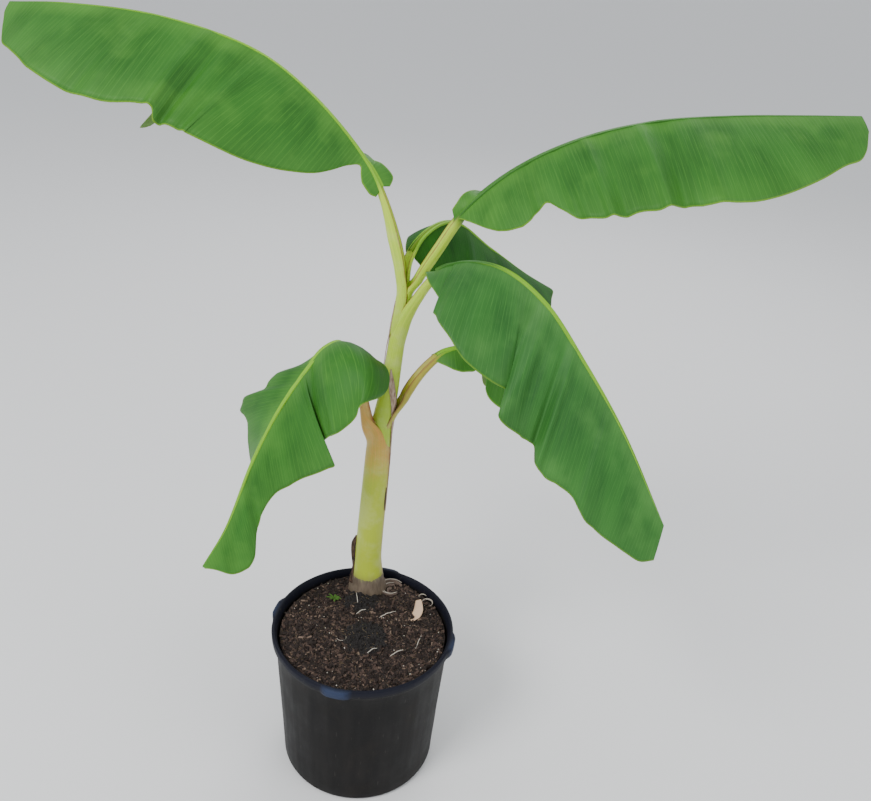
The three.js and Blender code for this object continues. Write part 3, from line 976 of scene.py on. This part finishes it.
# %% [markdown]
# How a sheath opens decides how the stalk leaves the stem. Pairs of a distance from
# the foot of the stalk and an angle say how far each edge reaches round: near 180
# the sheath is closed, and near 120 it is a channelled stalk. The sheath of the
# lowest leaf opens higher up and clings to the stem along one side, and that of the
# small leaf covers one side of the stem only.

# %% How the sheaths open
OPENING = [(-260, 176), (-120, 160), (-60, 145), (-10, 118), (30, 118), (60, 124)]
OPENING_BELOW = [(-260, 174), (-60, 164), (8, 150), (24, 136), (48, 124), (80, 124)]
OPENING_ASIDE = [(-150, 120), (-60, 100), (0, 84), (30, 104), (60, 124)]
SHEATHS = {
    "left": {"depth": 70, "leaves": (-10, 30), "layer": 2.5, "open": OPENING},
    "right": {"depth": 60, "leaves": (-10, 26), "layer": 3, "open": OPENING},
    "back": {"depth": 50, "leaves": (-10, 30), "layer": 2, "open": OPENING},
    "front_right": {"depth": 230, "leaves": (-14, 46), "layer": 0.6, "open": OPENING},
    "small": {"depth": 150, "leaves": (-12, 44), "layer": 0.8, "open": OPENING_ASIDE},
    "front_left": {
        "depth": 250, "leaves": (-8, 50), "layer": 0, "open": OPENING_BELOW,
        "cling": [(-150, 2), (-110, 12), (-70, 38), (-40, 34), (-5, 4), (20, 0)],
    },
}
WALLS = [(-260, 1.6), (-40, 2.2), (0, 1.1), (30, 1.0)]
CLEAR_OF_NECK = 10
RIB_START = 5
RIB_FULL = 30
for name, sheath in SHEATHS.items():
    neck, tip = LINES[name].neck, LINES[name].length
    start, full = neck - RIB_START, neck + RIB_FULL
    below = [pair for pair in sheath["open"] if pair[0] < neck - CLEAR_OF_NECK]
    sheath["open"] = [*below, (start, 124), (full, 104), (tip, 100)]
    sheath["wall"] = [*WALLS, (start, 1.0), (full, 1.12), (tip, 1.15)]
    LEAVES[name]["sheath"] = sheath
    print("the sheath of leaf", name, "reaches", sheath["depth"], "mm down the stem")

# %% [markdown]
# ## Finish of the stalks
#
# Stalks are fleshy and yellow green, streaked along their length, with a whitish
# bloom, small brown specks and edges that turn brown as they dry. The lowest leaf
# has a pinkish stalk. The colours follow numbers that the loft carries: the
# distance along it, how near its edge a point is, and whether it is under a blade.

# %% Finish of the stalks


def stalk_finish(name, skin, shade, lip_colour, lip_start, low_colour, low_end):
    """A fleshy skin: streaked along its length and browner at its free edges."""
    recipe = Recipe(name, 0.45, 0.3)
    lip = recipe.attribute("lip")
    way = recipe.attribute("way")
    on_blade = recipe.attribute("on_blade")
    x, y = recipe.math("MULTIPLY", way, 9), recipe.math("MULTIPLY", lip, 26)
    streak = recipe.noise(recipe.pair(x, y), 1.0, 3.0)
    patch = recipe.noise(recipe.place(), 45.0, 3.0)
    base = recipe.mix(recipe.ramp(streak, 0.3, 0.7), skin, shade)
    wavy = recipe.math("MULTIPLY_ADD", patch, 0.05, way)
    low = recipe.ramp(wavy, low_end + 0.07, low_end - 0.03)
    base = recipe.over(base, low_colour, low, 0.85)
    edge = recipe.math("ADD", lip, recipe.math("MULTIPLY", patch, 0.12))
    base = recipe.over(base, lip_colour, recipe.ramp(edge, lip_start, 1.04), 0.85)
    rib = recipe.mix(recipe.attribute("bare"), colour(50, 108, 28), RIB_GREEN)
    base = recipe.mix(on_blade, base, rib)
    bloom = recipe.ramp(recipe.noise(recipe.place(), 30.0, 4.0, 0.6), 0.46, 0.7)
    bloom = recipe.math("MULTIPLY", bloom, recipe.math("SUBTRACT", 1.0, on_blade))
    base = recipe.over(base, colour(206, 212, 150), bloom, 0.28)
    speck = recipe.ramp(recipe.noise(recipe.place(), 420.0, 2.0), 0.7, 0.78)
    base = recipe.over(base, colour(110, 84, 50), speck, 0.35)
    above_foot = recipe.math("MULTIPLY_ADD", patch, 0.03, recipe.height())
    base = recipe.over(base, colour(128, 116, 84), recipe.ramp(above_foot, 0.306, 0.282), 0.7)
    return recipe.finish(base, recipe.bump(streak, 0.0008, 0.5))


STALK = stalk_finish(
    "stalk_skin", colour(208, 230, 72), colour(168, 206, 50), colour(150, 112, 66), 0.93,
    colour(174, 204, 58), -0.02,
)
STALK_BROWN = stalk_finish(
    "stalk_brown_skin", colour(190, 176, 70), colour(172, 164, 56), colour(146, 100, 66), 0.84,
    colour(180, 190, 68), 0.0,
)
STALK_PINK = stalk_finish(
    "stalk_pink_skin", colour(226, 166, 84), colour(202, 164, 76), colour(150, 72, 58), 0.7,
    colour(172, 200, 50), -0.015,
)

STALK_SKINS = {
    "left": STALK, "right": STALK, "back": STALK, "front_right": STALK,
    "small": STALK_BROWN, "front_left": STALK_PINK,
}
for name, skin in STALK_SKINS.items():
    make_stalk(name, skin)

# %% [markdown]
# ## Pseudostem
#
# Inside the sheaths is the column of the younger ones, and at its foot the corm
# swells out of the soil with a ring of brown fibres. A cone could be bent to this
# shape, but a grid rolled round the stem's line follows the plan at every height.

# %% Pseudostem
STEM_ROW = 4.0
STEM_COLUMNS = 64
STEM_BOTTOM = 234
STEM_TOP = 758
UNDER_SHEATHS = 3.2
CORM_SWELL = 1.2
CORM_RISE = (268, 296)
FIBRES = {"from": 288, "full": 258, "lumps": 1.8, "threads": 1.1}


def make_column(material):
    """The column of wrapped sheaths, a grid rolled round the stem's line."""
    rows = round((STEM_TOP - STEM_BOTTOM) / STEM_ROW)
    bm = bmesh.new()
    bmesh.ops.create_grid(bm, x_segments=rows, y_segments=STEM_COLUMNS, size=1)
    for vertex in bm.verts:
        height = mixed(STEM_BOTTOM, STEM_TOP, (vertex.co.x + 1) / 2)
        angle = (vertex.co.y + 1) * math.pi
        way = facing(angle)
        inset = mixed(-CORM_SWELL, UNDER_SHEATHS, soft_step(*CORM_RISE, height))
        lump = noise.noise(Vector((way.x * 2.2, way.y * 2.2, height / 16)))
        thread = noise.noise(Vector((way.x * 14, way.y * 14, height / 30)))
        ragged = FIBRES["lumps"] * lump + FIBRES["threads"] * thread
        low = soft_step(FIBRES["from"], FIBRES["full"], height)
        radius = stem_radius(height) - inset + low * ragged
        vertex.co = (stem_middle(height) + way * radius) * MM
    close_up(bm)
    add_piece("column", bm, [material], "stem", "pseudostem")


def column_finish():
    """Green above, brown and fibrous where the corm leaves the soil."""
    recipe = Recipe("column_skin", 0.55)
    streak = recipe.noise(recipe.tall_place(0.12), 260.0, 3.0)
    green = recipe.mix(streak, colour(140, 164, 44), colour(168, 182, 60))
    brown = recipe.mix(streak, colour(62, 51, 42), colour(134, 118, 98))
    wavy = recipe.math("ADD", recipe.height(), recipe.math("MULTIPLY", streak, 0.016))
    base = recipe.mix(recipe.ramp(wavy, 0.296, 0.282), green, brown)
    return recipe.finish(base, recipe.bump(streak, 0.0016, 0.8))


make_column(column_finish())

# %% [markdown]
# ## Pot
#
# The pot is blow moulded: a thin wall with broad flat panels, a rolled rim and
# four grips. Cylinders could be joined, but a profile spun round the axis gives the
# wall, the rim and the underside in one piece. The panels and grips come from small
# moves of the wall towards or away from the axis.

# %% Pot
POT_HEIGHT = 251
RIM_RADIUS = 140
WALL_TOP_RADIUS = 133.7
BASE_RADIUS = 121
WALL = 2.5
RIM_DEPTH = 17
POT_STEPS = 144
PANEL_COUNT = 24
PANEL_DEPTH = 0.7
LUG_WIDTH = 44
LUG_DEPTH = 4.6
LUG_ANGLES = (-100, -10, 80, 170)
UNEVEN = 0.5
UNDERSIDE_RADIUS = 100


def wall_radius(height):
    """The outer radius of the wall at a height."""
    return BASE_RADIUS + (WALL_TOP_RADIUS - BASE_RADIUS) * height / (POT_HEIGHT - RIM_DEPTH)


def pot_profile():
    """The outline of the wall, from the middle of the underside to the inside."""
    foot = POT_HEIGHT - RIM_DEPTH
    inner = WALL_TOP_RADIUS - WALL
    outline = [(0.5, 3), (88, 3), (92, 0.4), (BASE_RADIUS - 8, 0), (BASE_RADIUS - 4, 0.8)]
    outline += [(BASE_RADIUS - 1.5, 3.4), (wall_radius(8), 8)]
    outline += [(wall_radius(z), z) for z in range(24, 222, 18)]
    outline += [
        (wall_radius(foot - 8), foot - 8), (WALL_TOP_RADIUS + 0.8, foot - 3),
        (RIM_RADIUS - 2.6, foot + 1), (RIM_RADIUS - 0.4, foot + 3.4), (RIM_RADIUS - 0.2, foot + 8),
        (RIM_RADIUS, POT_HEIGHT - 4.2), (RIM_RADIUS - 0.5, POT_HEIGHT - 1.4),
        (RIM_RADIUS - 2, POT_HEIGHT - 0.2), (RIM_RADIUS - 3.6, POT_HEIGHT - 0.2),
        (RIM_RADIUS - 5, POT_HEIGHT - 1.6), (inner + 1, POT_HEIGHT - 6), (inner, foot - 2),
        (inner - 1.2, foot - 26), (inner - 1.6, foot - 34),
    ]
    return outline


def make_pot(material):
    """The pot, spun from its profile."""
    bm = bmesh.new()
    outline = [bm.verts.new((radius * MM, 0, height * MM)) for radius, height in pot_profile()]
    for a, b in zip(outline, outline[1:]):
        bm.edges.new((a, b))
    spin_round(bm, POT_STEPS)
    bmesh.ops.remove_doubles(bm, verts=bm.verts, dist=WELD)
    ends = [edge for edge in bm.edges if edge.is_boundary and edge.verts[0].co.xy.length < 0.001]
    bmesh.ops.holes_fill(bm, edges=ends, sides=0)
    # This layer marks the grips, where the finish paints a blue sky reflection.
    lug_layer = bm.verts.layers.float.new("lug")
    for vertex in bm.verts:
        angle = math.atan2(vertex.co.y, vertex.co.x)
        way = facing(angle)
        radius = vertex.co.xy.length / MM
        height = vertex.co.z / MM
        if radius < UNDERSIDE_RADIUS:
            continue
        push = 0
        if radius > wall_radius(height) - 1.5:
            wall = soft_step(10, 22, height) * soft_step(230, 213, height)
            panel = (angle / (2 * math.pi) * PANEL_COUNT) % 1
            push -= PANEL_DEPTH * wall * soft_step(0, 0.12, panel) * soft_step(1, 0.88, panel)
            push += UNEVEN * wall * noise.noise(way * 2 + Vector((0, 0, height / 70)))
        if height > POT_HEIGHT - RIM_DEPTH - 2:
            push += UNEVEN * noise.noise(way * 3 + Vector((0, 0, 4)))
            for lug in LUG_ANGLES:
                turn = (math.degrees(angle) - lug + 180) % 360 - 180
                beside = abs(math.radians(turn)) * RIM_RADIUS / (LUG_WIDTH / 2)
                face = soft_step(RIM_RADIUS - 3.5, RIM_RADIUS - 0.6, radius)
                lug_part = soft_step(1, 0.72, beside) * face
                push += LUG_DEPTH * lug_part
                vertex[lug_layer] = max(vertex[lug_layer], lug_part)
        vertex.co.xy *= (radius + push) / radius
    bmesh.ops.recalc_face_normals(bm, faces=bm.faces)
    add_piece("nursery_pot", bm, [material], "pot", "pot")


def pot_finish():
    """Black recycled plastic: satin, with dust, faint streaks, small scuffs and a painted blue sky
    reflection on the rim and the grips.
    """
    recipe = Recipe("pot_plastic", 0.5, 0.16)
    place = recipe.place()
    tall = recipe.tall_place(0.16)
    streak = recipe.noise(tall, 55.0, 4.0)
    cloud = recipe.noise(place, 26.0, 4.0, 0.6)
    grain = recipe.noise(place, 900.0, 2.0)
    base = recipe.mix(recipe.ramp(streak, 0.3, 0.75), colour(15, 14, 14), colour(25, 23, 22))
    base = recipe.over(base, colour(46, 41, 37), recipe.ramp(cloud, 0.48, 0.78), 0.35)
    # Painted reflection: a dark blue tint along the rim stands in for the sky reflecting on it.
    painted_rim_reflection = recipe.ramp(recipe.height(), 0.232, 0.246)
    base = recipe.over(base, colour(17, 20, 36), painted_rim_reflection, 0.7)
    # Painted reflection: lighter blue patches on the grips stand in for the sky reflecting on
    # them.
    lug = recipe.math("MULTIPLY", recipe.attribute("lug"), recipe.ramp(cloud, 0.3, 0.6))
    base = recipe.over(base, colour(52, 64, 92), lug, 0.7)
    scratch = recipe.ramp(recipe.noise(tall, 320.0, 1.0), 0.71, 0.76)
    base = recipe.over(base, colour(70, 66, 62), scratch, 0.3)
    rough = recipe.math("MULTIPLY_ADD", cloud, 0.3, 0.42)
    normal = recipe.bump(grain, 0.0004, 0.35)
    normal = recipe.bump(streak, 0.0012, 0.35, normal)
    return recipe.finish(base, normal, rough)


make_pot(pot_finish())

# %% [markdown]
# ## The bed of soil
#
# The mix is bark, peat and a little perlite, heaped up a little round the stem. A
# relief in the material would look flat from the side, so its surface is a disc of
# fine rings, moved up and down by soft heaps and by noise in two sizes.

# %% The bed of soil
SOIL_LEVEL = 236
SOIL_RADIUS = 128.2
SOIL_RINGS = 90
SOIL_STEPS = 200
SOIL_BOTTOM = 150
INNER_RING = 0.4
WALL_TAPER = 0.98
CLOD_FULL = 12
CLOD_BARE = 3.5
MOUND = {"x": -4, "y": 95, "height": 9, "spread": 42}
CLODS = [
    {"x": -9, "y": 64, "height": 12, "spread": 17},
    {"x": 5, "y": -19, "height": 13, "spread": 21},
]


def heap(x, y, mound):
    """The height of one soft heap at a place."""
    far = (x - mound["x"]) ** 2 + (y - mound["y"]) ** 2
    return mound["height"] * math.exp(-far / (2 * mound["spread"] ** 2))


def ground_noise(x, y, length, layer):
    """Soft noise over the ground with lumps of about a length."""
    return noise.noise(Vector((x / length, y / length, layer)))


def soil_height(x, y):
    """The height of the soil at a place, with its small lumps."""
    height = SOIL_LEVEL + heap(x, y, MOUND)
    clod = sum(heap(x, y, mound) for mound in CLODS)
    height += clod * (1 + 0.6 * ground_noise(x, y, 8, 2))
    height += 1.6 * ground_noise(x, y, 14, 0)
    height += 1.3 * ground_noise(x, y, 4.5, 5)
    return height


def clod_cover(x, y):
    """How much of a clod of peat is at a place, with a ragged edge."""
    ragged = 1 + 0.7 * ground_noise(x, y, 9, 8)
    return sum(heap(x, y, mound) for mound in CLODS) * ragged


def make_soil(material):
    """The bed: a disc of rings, moved up and down, with a wall below its last ring."""
    bm = bmesh.new()
    previous = bm.verts.new((INNER_RING * MM, 0, 0))
    for ring in range(1, SOIL_RINGS + 1):
        vertex = bm.verts.new((SOIL_RADIUS * ring / SOIL_RINGS * MM, 0, 0))
        bm.edges.new((previous, vertex))
        previous = vertex
    wall = bm.verts.new((SOIL_RADIUS * WALL_TAPER * MM, 0, SOIL_BOTTOM * MM))
    bm.edges.new((previous, wall))
    spin_round(bm, SOIL_STEPS)
    clod_layer = bm.verts.layers.float.new("clod")
    for vertex in bm.verts:
        if vertex.co.z > SOIL_BOTTOM * MM / 2:
            continue
        x, y = vertex.co.x / MM, vertex.co.y / MM
        vertex.co.z = soil_height(x, y) * MM
        vertex[clod_layer] = clod_cover(x, y) / CLOD_FULL
    bottom = [edge for edge in bm.edges if edge.is_boundary]
    bmesh.ops.holes_fill(bm, edges=bottom, sides=0)
    bmesh.ops.recalc_face_normals(bm, faces=bm.faces)
    add_piece("soil_bed", bm, [material], "soil", "soil")


def soil_finish():
    """Moist brown mix, nearly black on the clods of peat."""
    recipe = Recipe("soil_mix", 0.85, 0.35)
    place = recipe.place()
    coarse = recipe.noise(place, 130.0, 5.0, 0.65)
    fine = recipe.noise(place, 520.0, 4.0, 0.6)
    base = recipe.mix(recipe.ramp(coarse, 0.35, 0.7), colour(40, 32, 28), colour(70, 57, 50))
    base = recipe.over(base, colour(84, 66, 54), recipe.ramp(fine, 0.55, 0.8), 0.6)
    clod = recipe.ramp(recipe.attribute("clod"), 0.25, 0.6)
    base = recipe.mix(clod, base, colour(36, 33, 32))
    relief = recipe.math("ADD", coarse, recipe.math("MULTIPLY", fine, 0.5))
    return recipe.finish(base, recipe.bump(relief, 0.004, 0.9))


make_soil(soil_finish())

# %% [markdown]
# ## Loose bits on the soil
#
# Thousands of crumbs, chips and fibres lie on the mix. They are too many to be
# modelled one by one. So eight small shapes of each kind are copied to seeded random
# places and joined into one mesh with one plain colour. A row of the table gives the
# shape, how many there are, their smallest and largest size, how far they lean, how
# far they stand out, where they may lie, and their colour.

# %% Loose bits on the soil
SEED = 7
SHAPES_PER_KIND = 8
OFF_THE_WALL = 3
OFF_THE_STEM = 24


def crumb_shape(rng):
    """A rough crumb."""
    bm = bmesh.new()
    bmesh.ops.create_icosphere(bm, subdivisions=1, radius=1)
    for vertex in bm.verts:
        vertex.co *= rng.uniform(0.7, 1.2)
    return bm


def chip_shape(rng):
    """A flat splinter of bark."""
    bm = bmesh.new()
    bmesh.ops.create_cube(bm, size=2)
    bmesh.ops.scale(bm, vec=(1, 0.42, 0.2), verts=bm.verts)
    for vertex in bm.verts:
        vertex.co.y *= rng.uniform(0.3, 1.3) if vertex.co.x > 0 else 1
        vertex.co += Vector((rng.uniform(-0.2, 0.2), 0, rng.uniform(-0.1, 0.1)))
    return bm


def fibre_shape(rng):
    """A thin bent fibre."""
    bm = bmesh.new()
    bmesh.ops.create_cone(
        bm, cap_ends=True, segments=4, radius1=0.05, radius2=0.03, depth=2,
        matrix=Matrix.Rotation(math.pi / 2, 4, "Y"),
    )
    long_edges = [edge for edge in bm.edges if edge.calc_length() > 1]
    bmesh.ops.subdivide_edges(bm, edges=long_edges, cuts=3)
    bend = rng.uniform(-0.5, 0.5)
    for vertex in bm.verts:
        vertex.co.y += bend * vertex.co.x ** 2
        vertex.co.z += 0.1 * math.sin(vertex.co.x * 3)
    return bm


def scatter(name, shapes, places, material):
    """Copies of a few small shapes at many places, joined into one piece."""
    points = []
    faces = []
    kinds = []
    for shape in shapes:
        corners = [vertex.co.copy() for vertex in shape.verts]
        rings = [[vertex.index for vertex in face.verts] for face in shape.faces]
        kinds.append((corners, rings))
        shape.free()
    for index, matrix in enumerate(places):
        corners, rings = kinds[index % len(kinds)]
        first = len(points)
        points.extend(matrix @ corner for corner in corners)
        faces.extend([first + corner for corner in ring] for ring in rings)
    mesh = bpy.data.meshes.new(name)
    mesh.from_pydata(points, [], faces)
    bm = bmesh.new()
    bm.from_mesh(mesh)
    bpy.data.meshes.remove(mesh)
    piece = add_piece(name, bm, [material], "soil")
    piece.data.shade_flat()


def soil_places(rng, count, size_low, size_high, tilt, sink, keep):
    """Random places on the bed, turned about and partly sunk in."""
    places = []
    while len(places) < count:
        radius = (SOIL_RADIUS - OFF_THE_WALL) * math.sqrt(rng.random())
        angle = rng.uniform(0, 2 * math.pi)
        x, y = radius * math.cos(angle), radius * math.sin(angle)
        size = rng.uniform(size_low, size_high)
        turn = Matrix.Rotation(rng.uniform(0, 2 * math.pi), 4, "Z")
        lean = Matrix.Rotation(rng.uniform(-tilt, tilt), 4, "Y")
        roll = Matrix.Rotation(rng.uniform(-tilt, tilt), 4, "X")
        off_stem = math.dist((x, y), (MOUND["x"], MOUND["y"])) >= OFF_THE_STEM
        if not (keep(x, y) and off_stem):
            continue
        place = Vector((x, y, soil_height(x, y) + size * sink)) * MM
        scale = Matrix.Scale(size * MM, 4)
        places.append(Matrix.Translation(place) @ turn @ lean @ roll @ scale)
    return places


def on_clod(x, y):
    """True where a clod of peat covers the mix."""
    return clod_cover(x, y) > CLOD_BARE


def off_clod(x, y):
    """True away from the clods."""
    return not on_clod(x, y)


def anywhere(x, y):
    """True at every place."""
    return True


def plain_finish(name, base, roughness=0.8):
    """A small thing's finish: one plain colour."""
    recipe = Recipe(name, roughness, 0.3)
    recipe.shader.inputs["Base Color"].default_value = base
    return recipe.material


BITS = {
    "crumbs_dark": (crumb_shape, 3600, 0.8, 2.6, 3, 0.1, off_clod, colour(38, 31, 28)),
    "crumbs_brown": (crumb_shape, 2600, 0.7, 2.0, 3, 0.15, off_clod, colour(68, 56, 50)),
    "crumbs_peat": (crumb_shape, 1500, 0.7, 2.6, 3, 0.1, on_clod, colour(40, 37, 36)),
    "bark_chips": (chip_shape, 1300, 1.8, 4.4, 0.7, 0.25, off_clod, colour(78, 62, 54)),
    "bark_chips_dark": (chip_shape, 1500, 1.8, 4.8, 0.8, 0.25, off_clod, colour(44, 35, 31)),
    "bark_chips_pale": (chip_shape, 320, 1.3, 3.4, 0.6, 0.35, off_clod, colour(124, 104, 90)),
    "fibres": (fibre_shape, 700, 2.0, 7.0, 0.35, 0.12, anywhere, colour(128, 110, 86)),
    "perlite": (crumb_shape, 150, 0.6, 1.5, 3, 0.4, off_clod, colour(226, 218, 204)),
}
rng = random.Random(SEED)
for name, (shape, count, low, high, tilt, sink, keep, tint) in BITS.items():
    shapes = [shape(rng) for _ in range(SHAPES_PER_KIND)]
    places = soil_places(rng, count, low, high, tilt, sink, keep)
    scatter(name, shapes, places, plain_finish(f"{name}_tint", tint))

# %% [markdown]
# ## Strips on the stem
#
# Old sheaths dry from their free edges, so papery edges run along the stem and a
# few dry scales are left at its foot. They are thin strips. A strip could be cut
# out of the sheath, but it curls away from it, so each one is a narrow grid laid
# along a path and given a thickness. Tables by height give its direction from the
# stem's middle, its width and how far it stands off the skin.

# %% Strips on the stem
STRIP_THICKNESS = 0.7
STRIP_COLUMNS = 4


def add_strip(bm, steps, path):
    """One strip in a mesh: path gives its middle and half its width, in mm."""
    made = bmesh.ops.create_grid(bm, x_segments=steps, y_segments=STRIP_COLUMNS, size=1)
    for vertex in made["verts"]:
        middle, half = path((vertex.co.x + 1) / 2)
        vertex.co = (middle + half * vertex.co.y) * MM


def add_strips(name, strips, material, slot):
    """A piece of several strips with one thickness."""
    bm = bmesh.new()
    for steps, path in strips:
        add_strip(bm, steps, path)
    piece = add_piece(name, bm, [material], slot)
    add_skins(piece, STRIP_THICKNESS)


def stem_strip(low, high, azimuth, width, stand, turn=0):
    """A path up the stem between two heights, turned about its own length."""

    def path(part):
        height = mixed(low, high, part)
        angle = math.radians(smooth(azimuth, height))
        across = facing(angle + math.radians(turn) + math.pi / 2)
        distance = stem_radius(height) + smooth(stand, height)
        middle = stem_middle(height) + facing(angle) * distance
        return middle, across * (smooth(width, height) / 2)

    return path


def paper_finish(name, light, dark):
    """Dry papery skin with streaks along the stem."""
    recipe = Recipe(name, 0.7, 0.3)
    streak = recipe.noise(recipe.tall_place(0.2), 420.0, 3.0)
    base = recipe.mix(recipe.ramp(streak, 0.35, 0.65), light, dark)
    return recipe.finish(base, recipe.bump(streak, 0.0006, 0.5))


front_edge = stem_strip(
    400, 652,
    [(400, 0), (440, -5), (500, -8), (561, -20), (575, -32), (598, -48), (620, -72),
     (652, -97)],
    [(400, 1.5), (440, 3), (560, 7), (600, 10), (625, 9), (652, 1.5)],
    [(400, 0.1), (560, 0.4), (620, 0.6), (652, 0.2)],
)
back_edge = stem_strip(
    640, 752, [(640, -172), (752, -160)], [(640, 1.5), (700, 4), (752, 2)],
    [(640, 0.2), (680, 0), (704, -2), (752, -2.4)],
)
add_strips(
    "sheath_edges", [(90, front_edge), (40, back_edge)],
    paper_finish("papery_edge", colour(196, 172, 152), colour(146, 114, 98)), "stem",
)
left_scale = stem_strip(
    292, 350, [(292, 192), (350, 186)], [(292, 3), (315, 8), (335, 8), (350, 2)],
    [(292, 0.6), (312, 2.6), (330, 3.8), (350, 0.8)], 60,
)
low_scale = stem_strip(
    262, 308, [(262, 205), (308, 196)], [(262, 8), (284, 5), (308, 2.5)],
    [(262, 2), (308, 0.6)], 30,
)
right_flake = stem_strip(
    406, 448, [(406, -24)], [(406, 1.5), (422, 4), (448, 1.2)], [(406, 0.4)],
)
add_strips(
    "dry_scales", [(24, left_scale), (16, low_scale), (12, right_flake)],
    paper_finish("dry_scale", colour(96, 74, 58), colour(44, 33, 28)), "stem",
)

# %% [markdown]
# ## Litter on the mix
#
# A curled old sheath, a chip of bark, pale curls and sticks and a small weed lie on
# the mix. They are strips too: rings of a strip on edge make the curls, straight
# ones the sticks, and short ones that rise and droop the leaflets of the weed.

# %% Litter on the mix
CURL_CLOSING = 0.25
CURL_LEAN = 0.5
STICK_HEIGHT = 1.2
WEED_PLACE = (-54, 63)
WEED_WIDTH = 1.8


def on_soil(x, y, above):
    """A point at a height above the mix."""
    return Vector((x, y, soil_height(x, y) + above))


def arc_strip(x, y, radius, start, sweep, tall, above):
    """A strip on edge that runs round part of a circle."""

    def path(part):
        way = facing(math.radians(start + sweep * part))
        foot = on_soil(x, y, above) + way * radius * (1 - CURL_CLOSING * part)
        half = tall * math.sin(math.pi * (0.1 + 0.8 * part)) / 2
        return foot, (Vector((0, 0, 1)) + way * CURL_LEAN) * half

    return path


def lying_strip(first, last, half, arch):
    """A straight strip from one place on the mix to another, a little arched."""

    def path(part):
        x, y = mixed(first[0], last[0], part), mixed(first[1], last[1], part)
        rise = arch * math.sin(math.pi * part)
        along = Vector((last[0] - first[0], last[1] - first[1], 0)).normalized()
        across = Vector((-along.y, along.x, 0))
        return on_soil(x, y, STICK_HEIGHT + rise), across * half

    return path


def chip_path(part):
    """The bark chip: it lies on its wide end and its tip stands up."""
    bow = math.sin(math.pi * part)
    middle = on_soil(73 + 9 * part + 5 * bow, 30 + 34 * part, 1.5 + 14 * part * part)
    breadth = 2.6 + 5.4 * math.sin(math.pi * (0.2 + 0.72 * part))
    return middle, Vector((breadth, -1, 2.5))


def weed_leaf(turn, length, width):
    """One leaflet of the weed: it rises from the middle and droops at its tip."""

    def path(part):
        way = facing(turn)
        middle = on_soil(*WEED_PLACE, 1 + 7 * part * (1.5 - part)) + way * (length * part)
        across = Vector((-way.y, way.x, 0.2))
        return middle, across * (width * math.sin(math.pi * (0.12 + 0.82 * part)))

    return path


bark_tan = plain_finish("bark_tan", colour(222, 188, 158))
add_strips("bark_chip_tan", [(14, chip_path)], bark_tan, "soil")
curls = [
    (40, arc_strip(35, 93, 20, 30, 290, 10, 4)),
    (32, arc_strip(36, 90, 14, 70, 250, 9, 4)),
    (24, arc_strip(38, 88, 8, 100, 220, 7, 4)),
]
add_strips("curled_sheath", curls, plain_finish("old_sheath", colour(112, 96, 86)), "soil")
pale_curls = [
    (40, arc_strip(35, 93, 21, 35, 280, 2.0, 9)),
    (32, arc_strip(36, 90, 15, 75, 240, 1.6, 8.5)),
    (24, arc_strip(96, 74, 10, -60, 230, 2.2, 4)),
    (20, arc_strip(88, 88, 7, 20, 180, 1.6, 3)),
    (20, arc_strip(-30, -22, 8, 200, 200, 1.4, 2.5)),
]
add_strips("pale_curls", pale_curls, plain_finish("pale_curl", colour(176, 166, 154)), "soil")
sticks = [
    (10, lying_strip((22, 28), (49, 48), 0.6, 3)),
    (8, lying_strip((-15, 31), (0, 40), 0.6, 2)),
    (8, lying_strip((10, -53), (26, -40), 0.6, 2)),
    (10, lying_strip((46, -51), (69, -33), 0.6, 3)),
    (8, lying_strip((-20, 72), (-14, 46), 0.5, 3)),
    (8, lying_strip((84, -30), (92, 2), 0.5, 2)),
]
add_strips("pale_sticks", sticks, plain_finish("stick", colour(198, 190, 178)), "soil")
leaflets = [(0.3, 9), (1.3, 7), (2.5, 12), (3.2, 13), (3.9, 8), (4.9, 11), (5.6, 10), (6.1, 12)]
weed_leaves = [(10, weed_leaf(turn, length, WEED_WIDTH)) for turn, length in leaflets]
add_strips("weed", weed_leaves, plain_finish("weed_green", colour(64, 100, 30)), "soil")
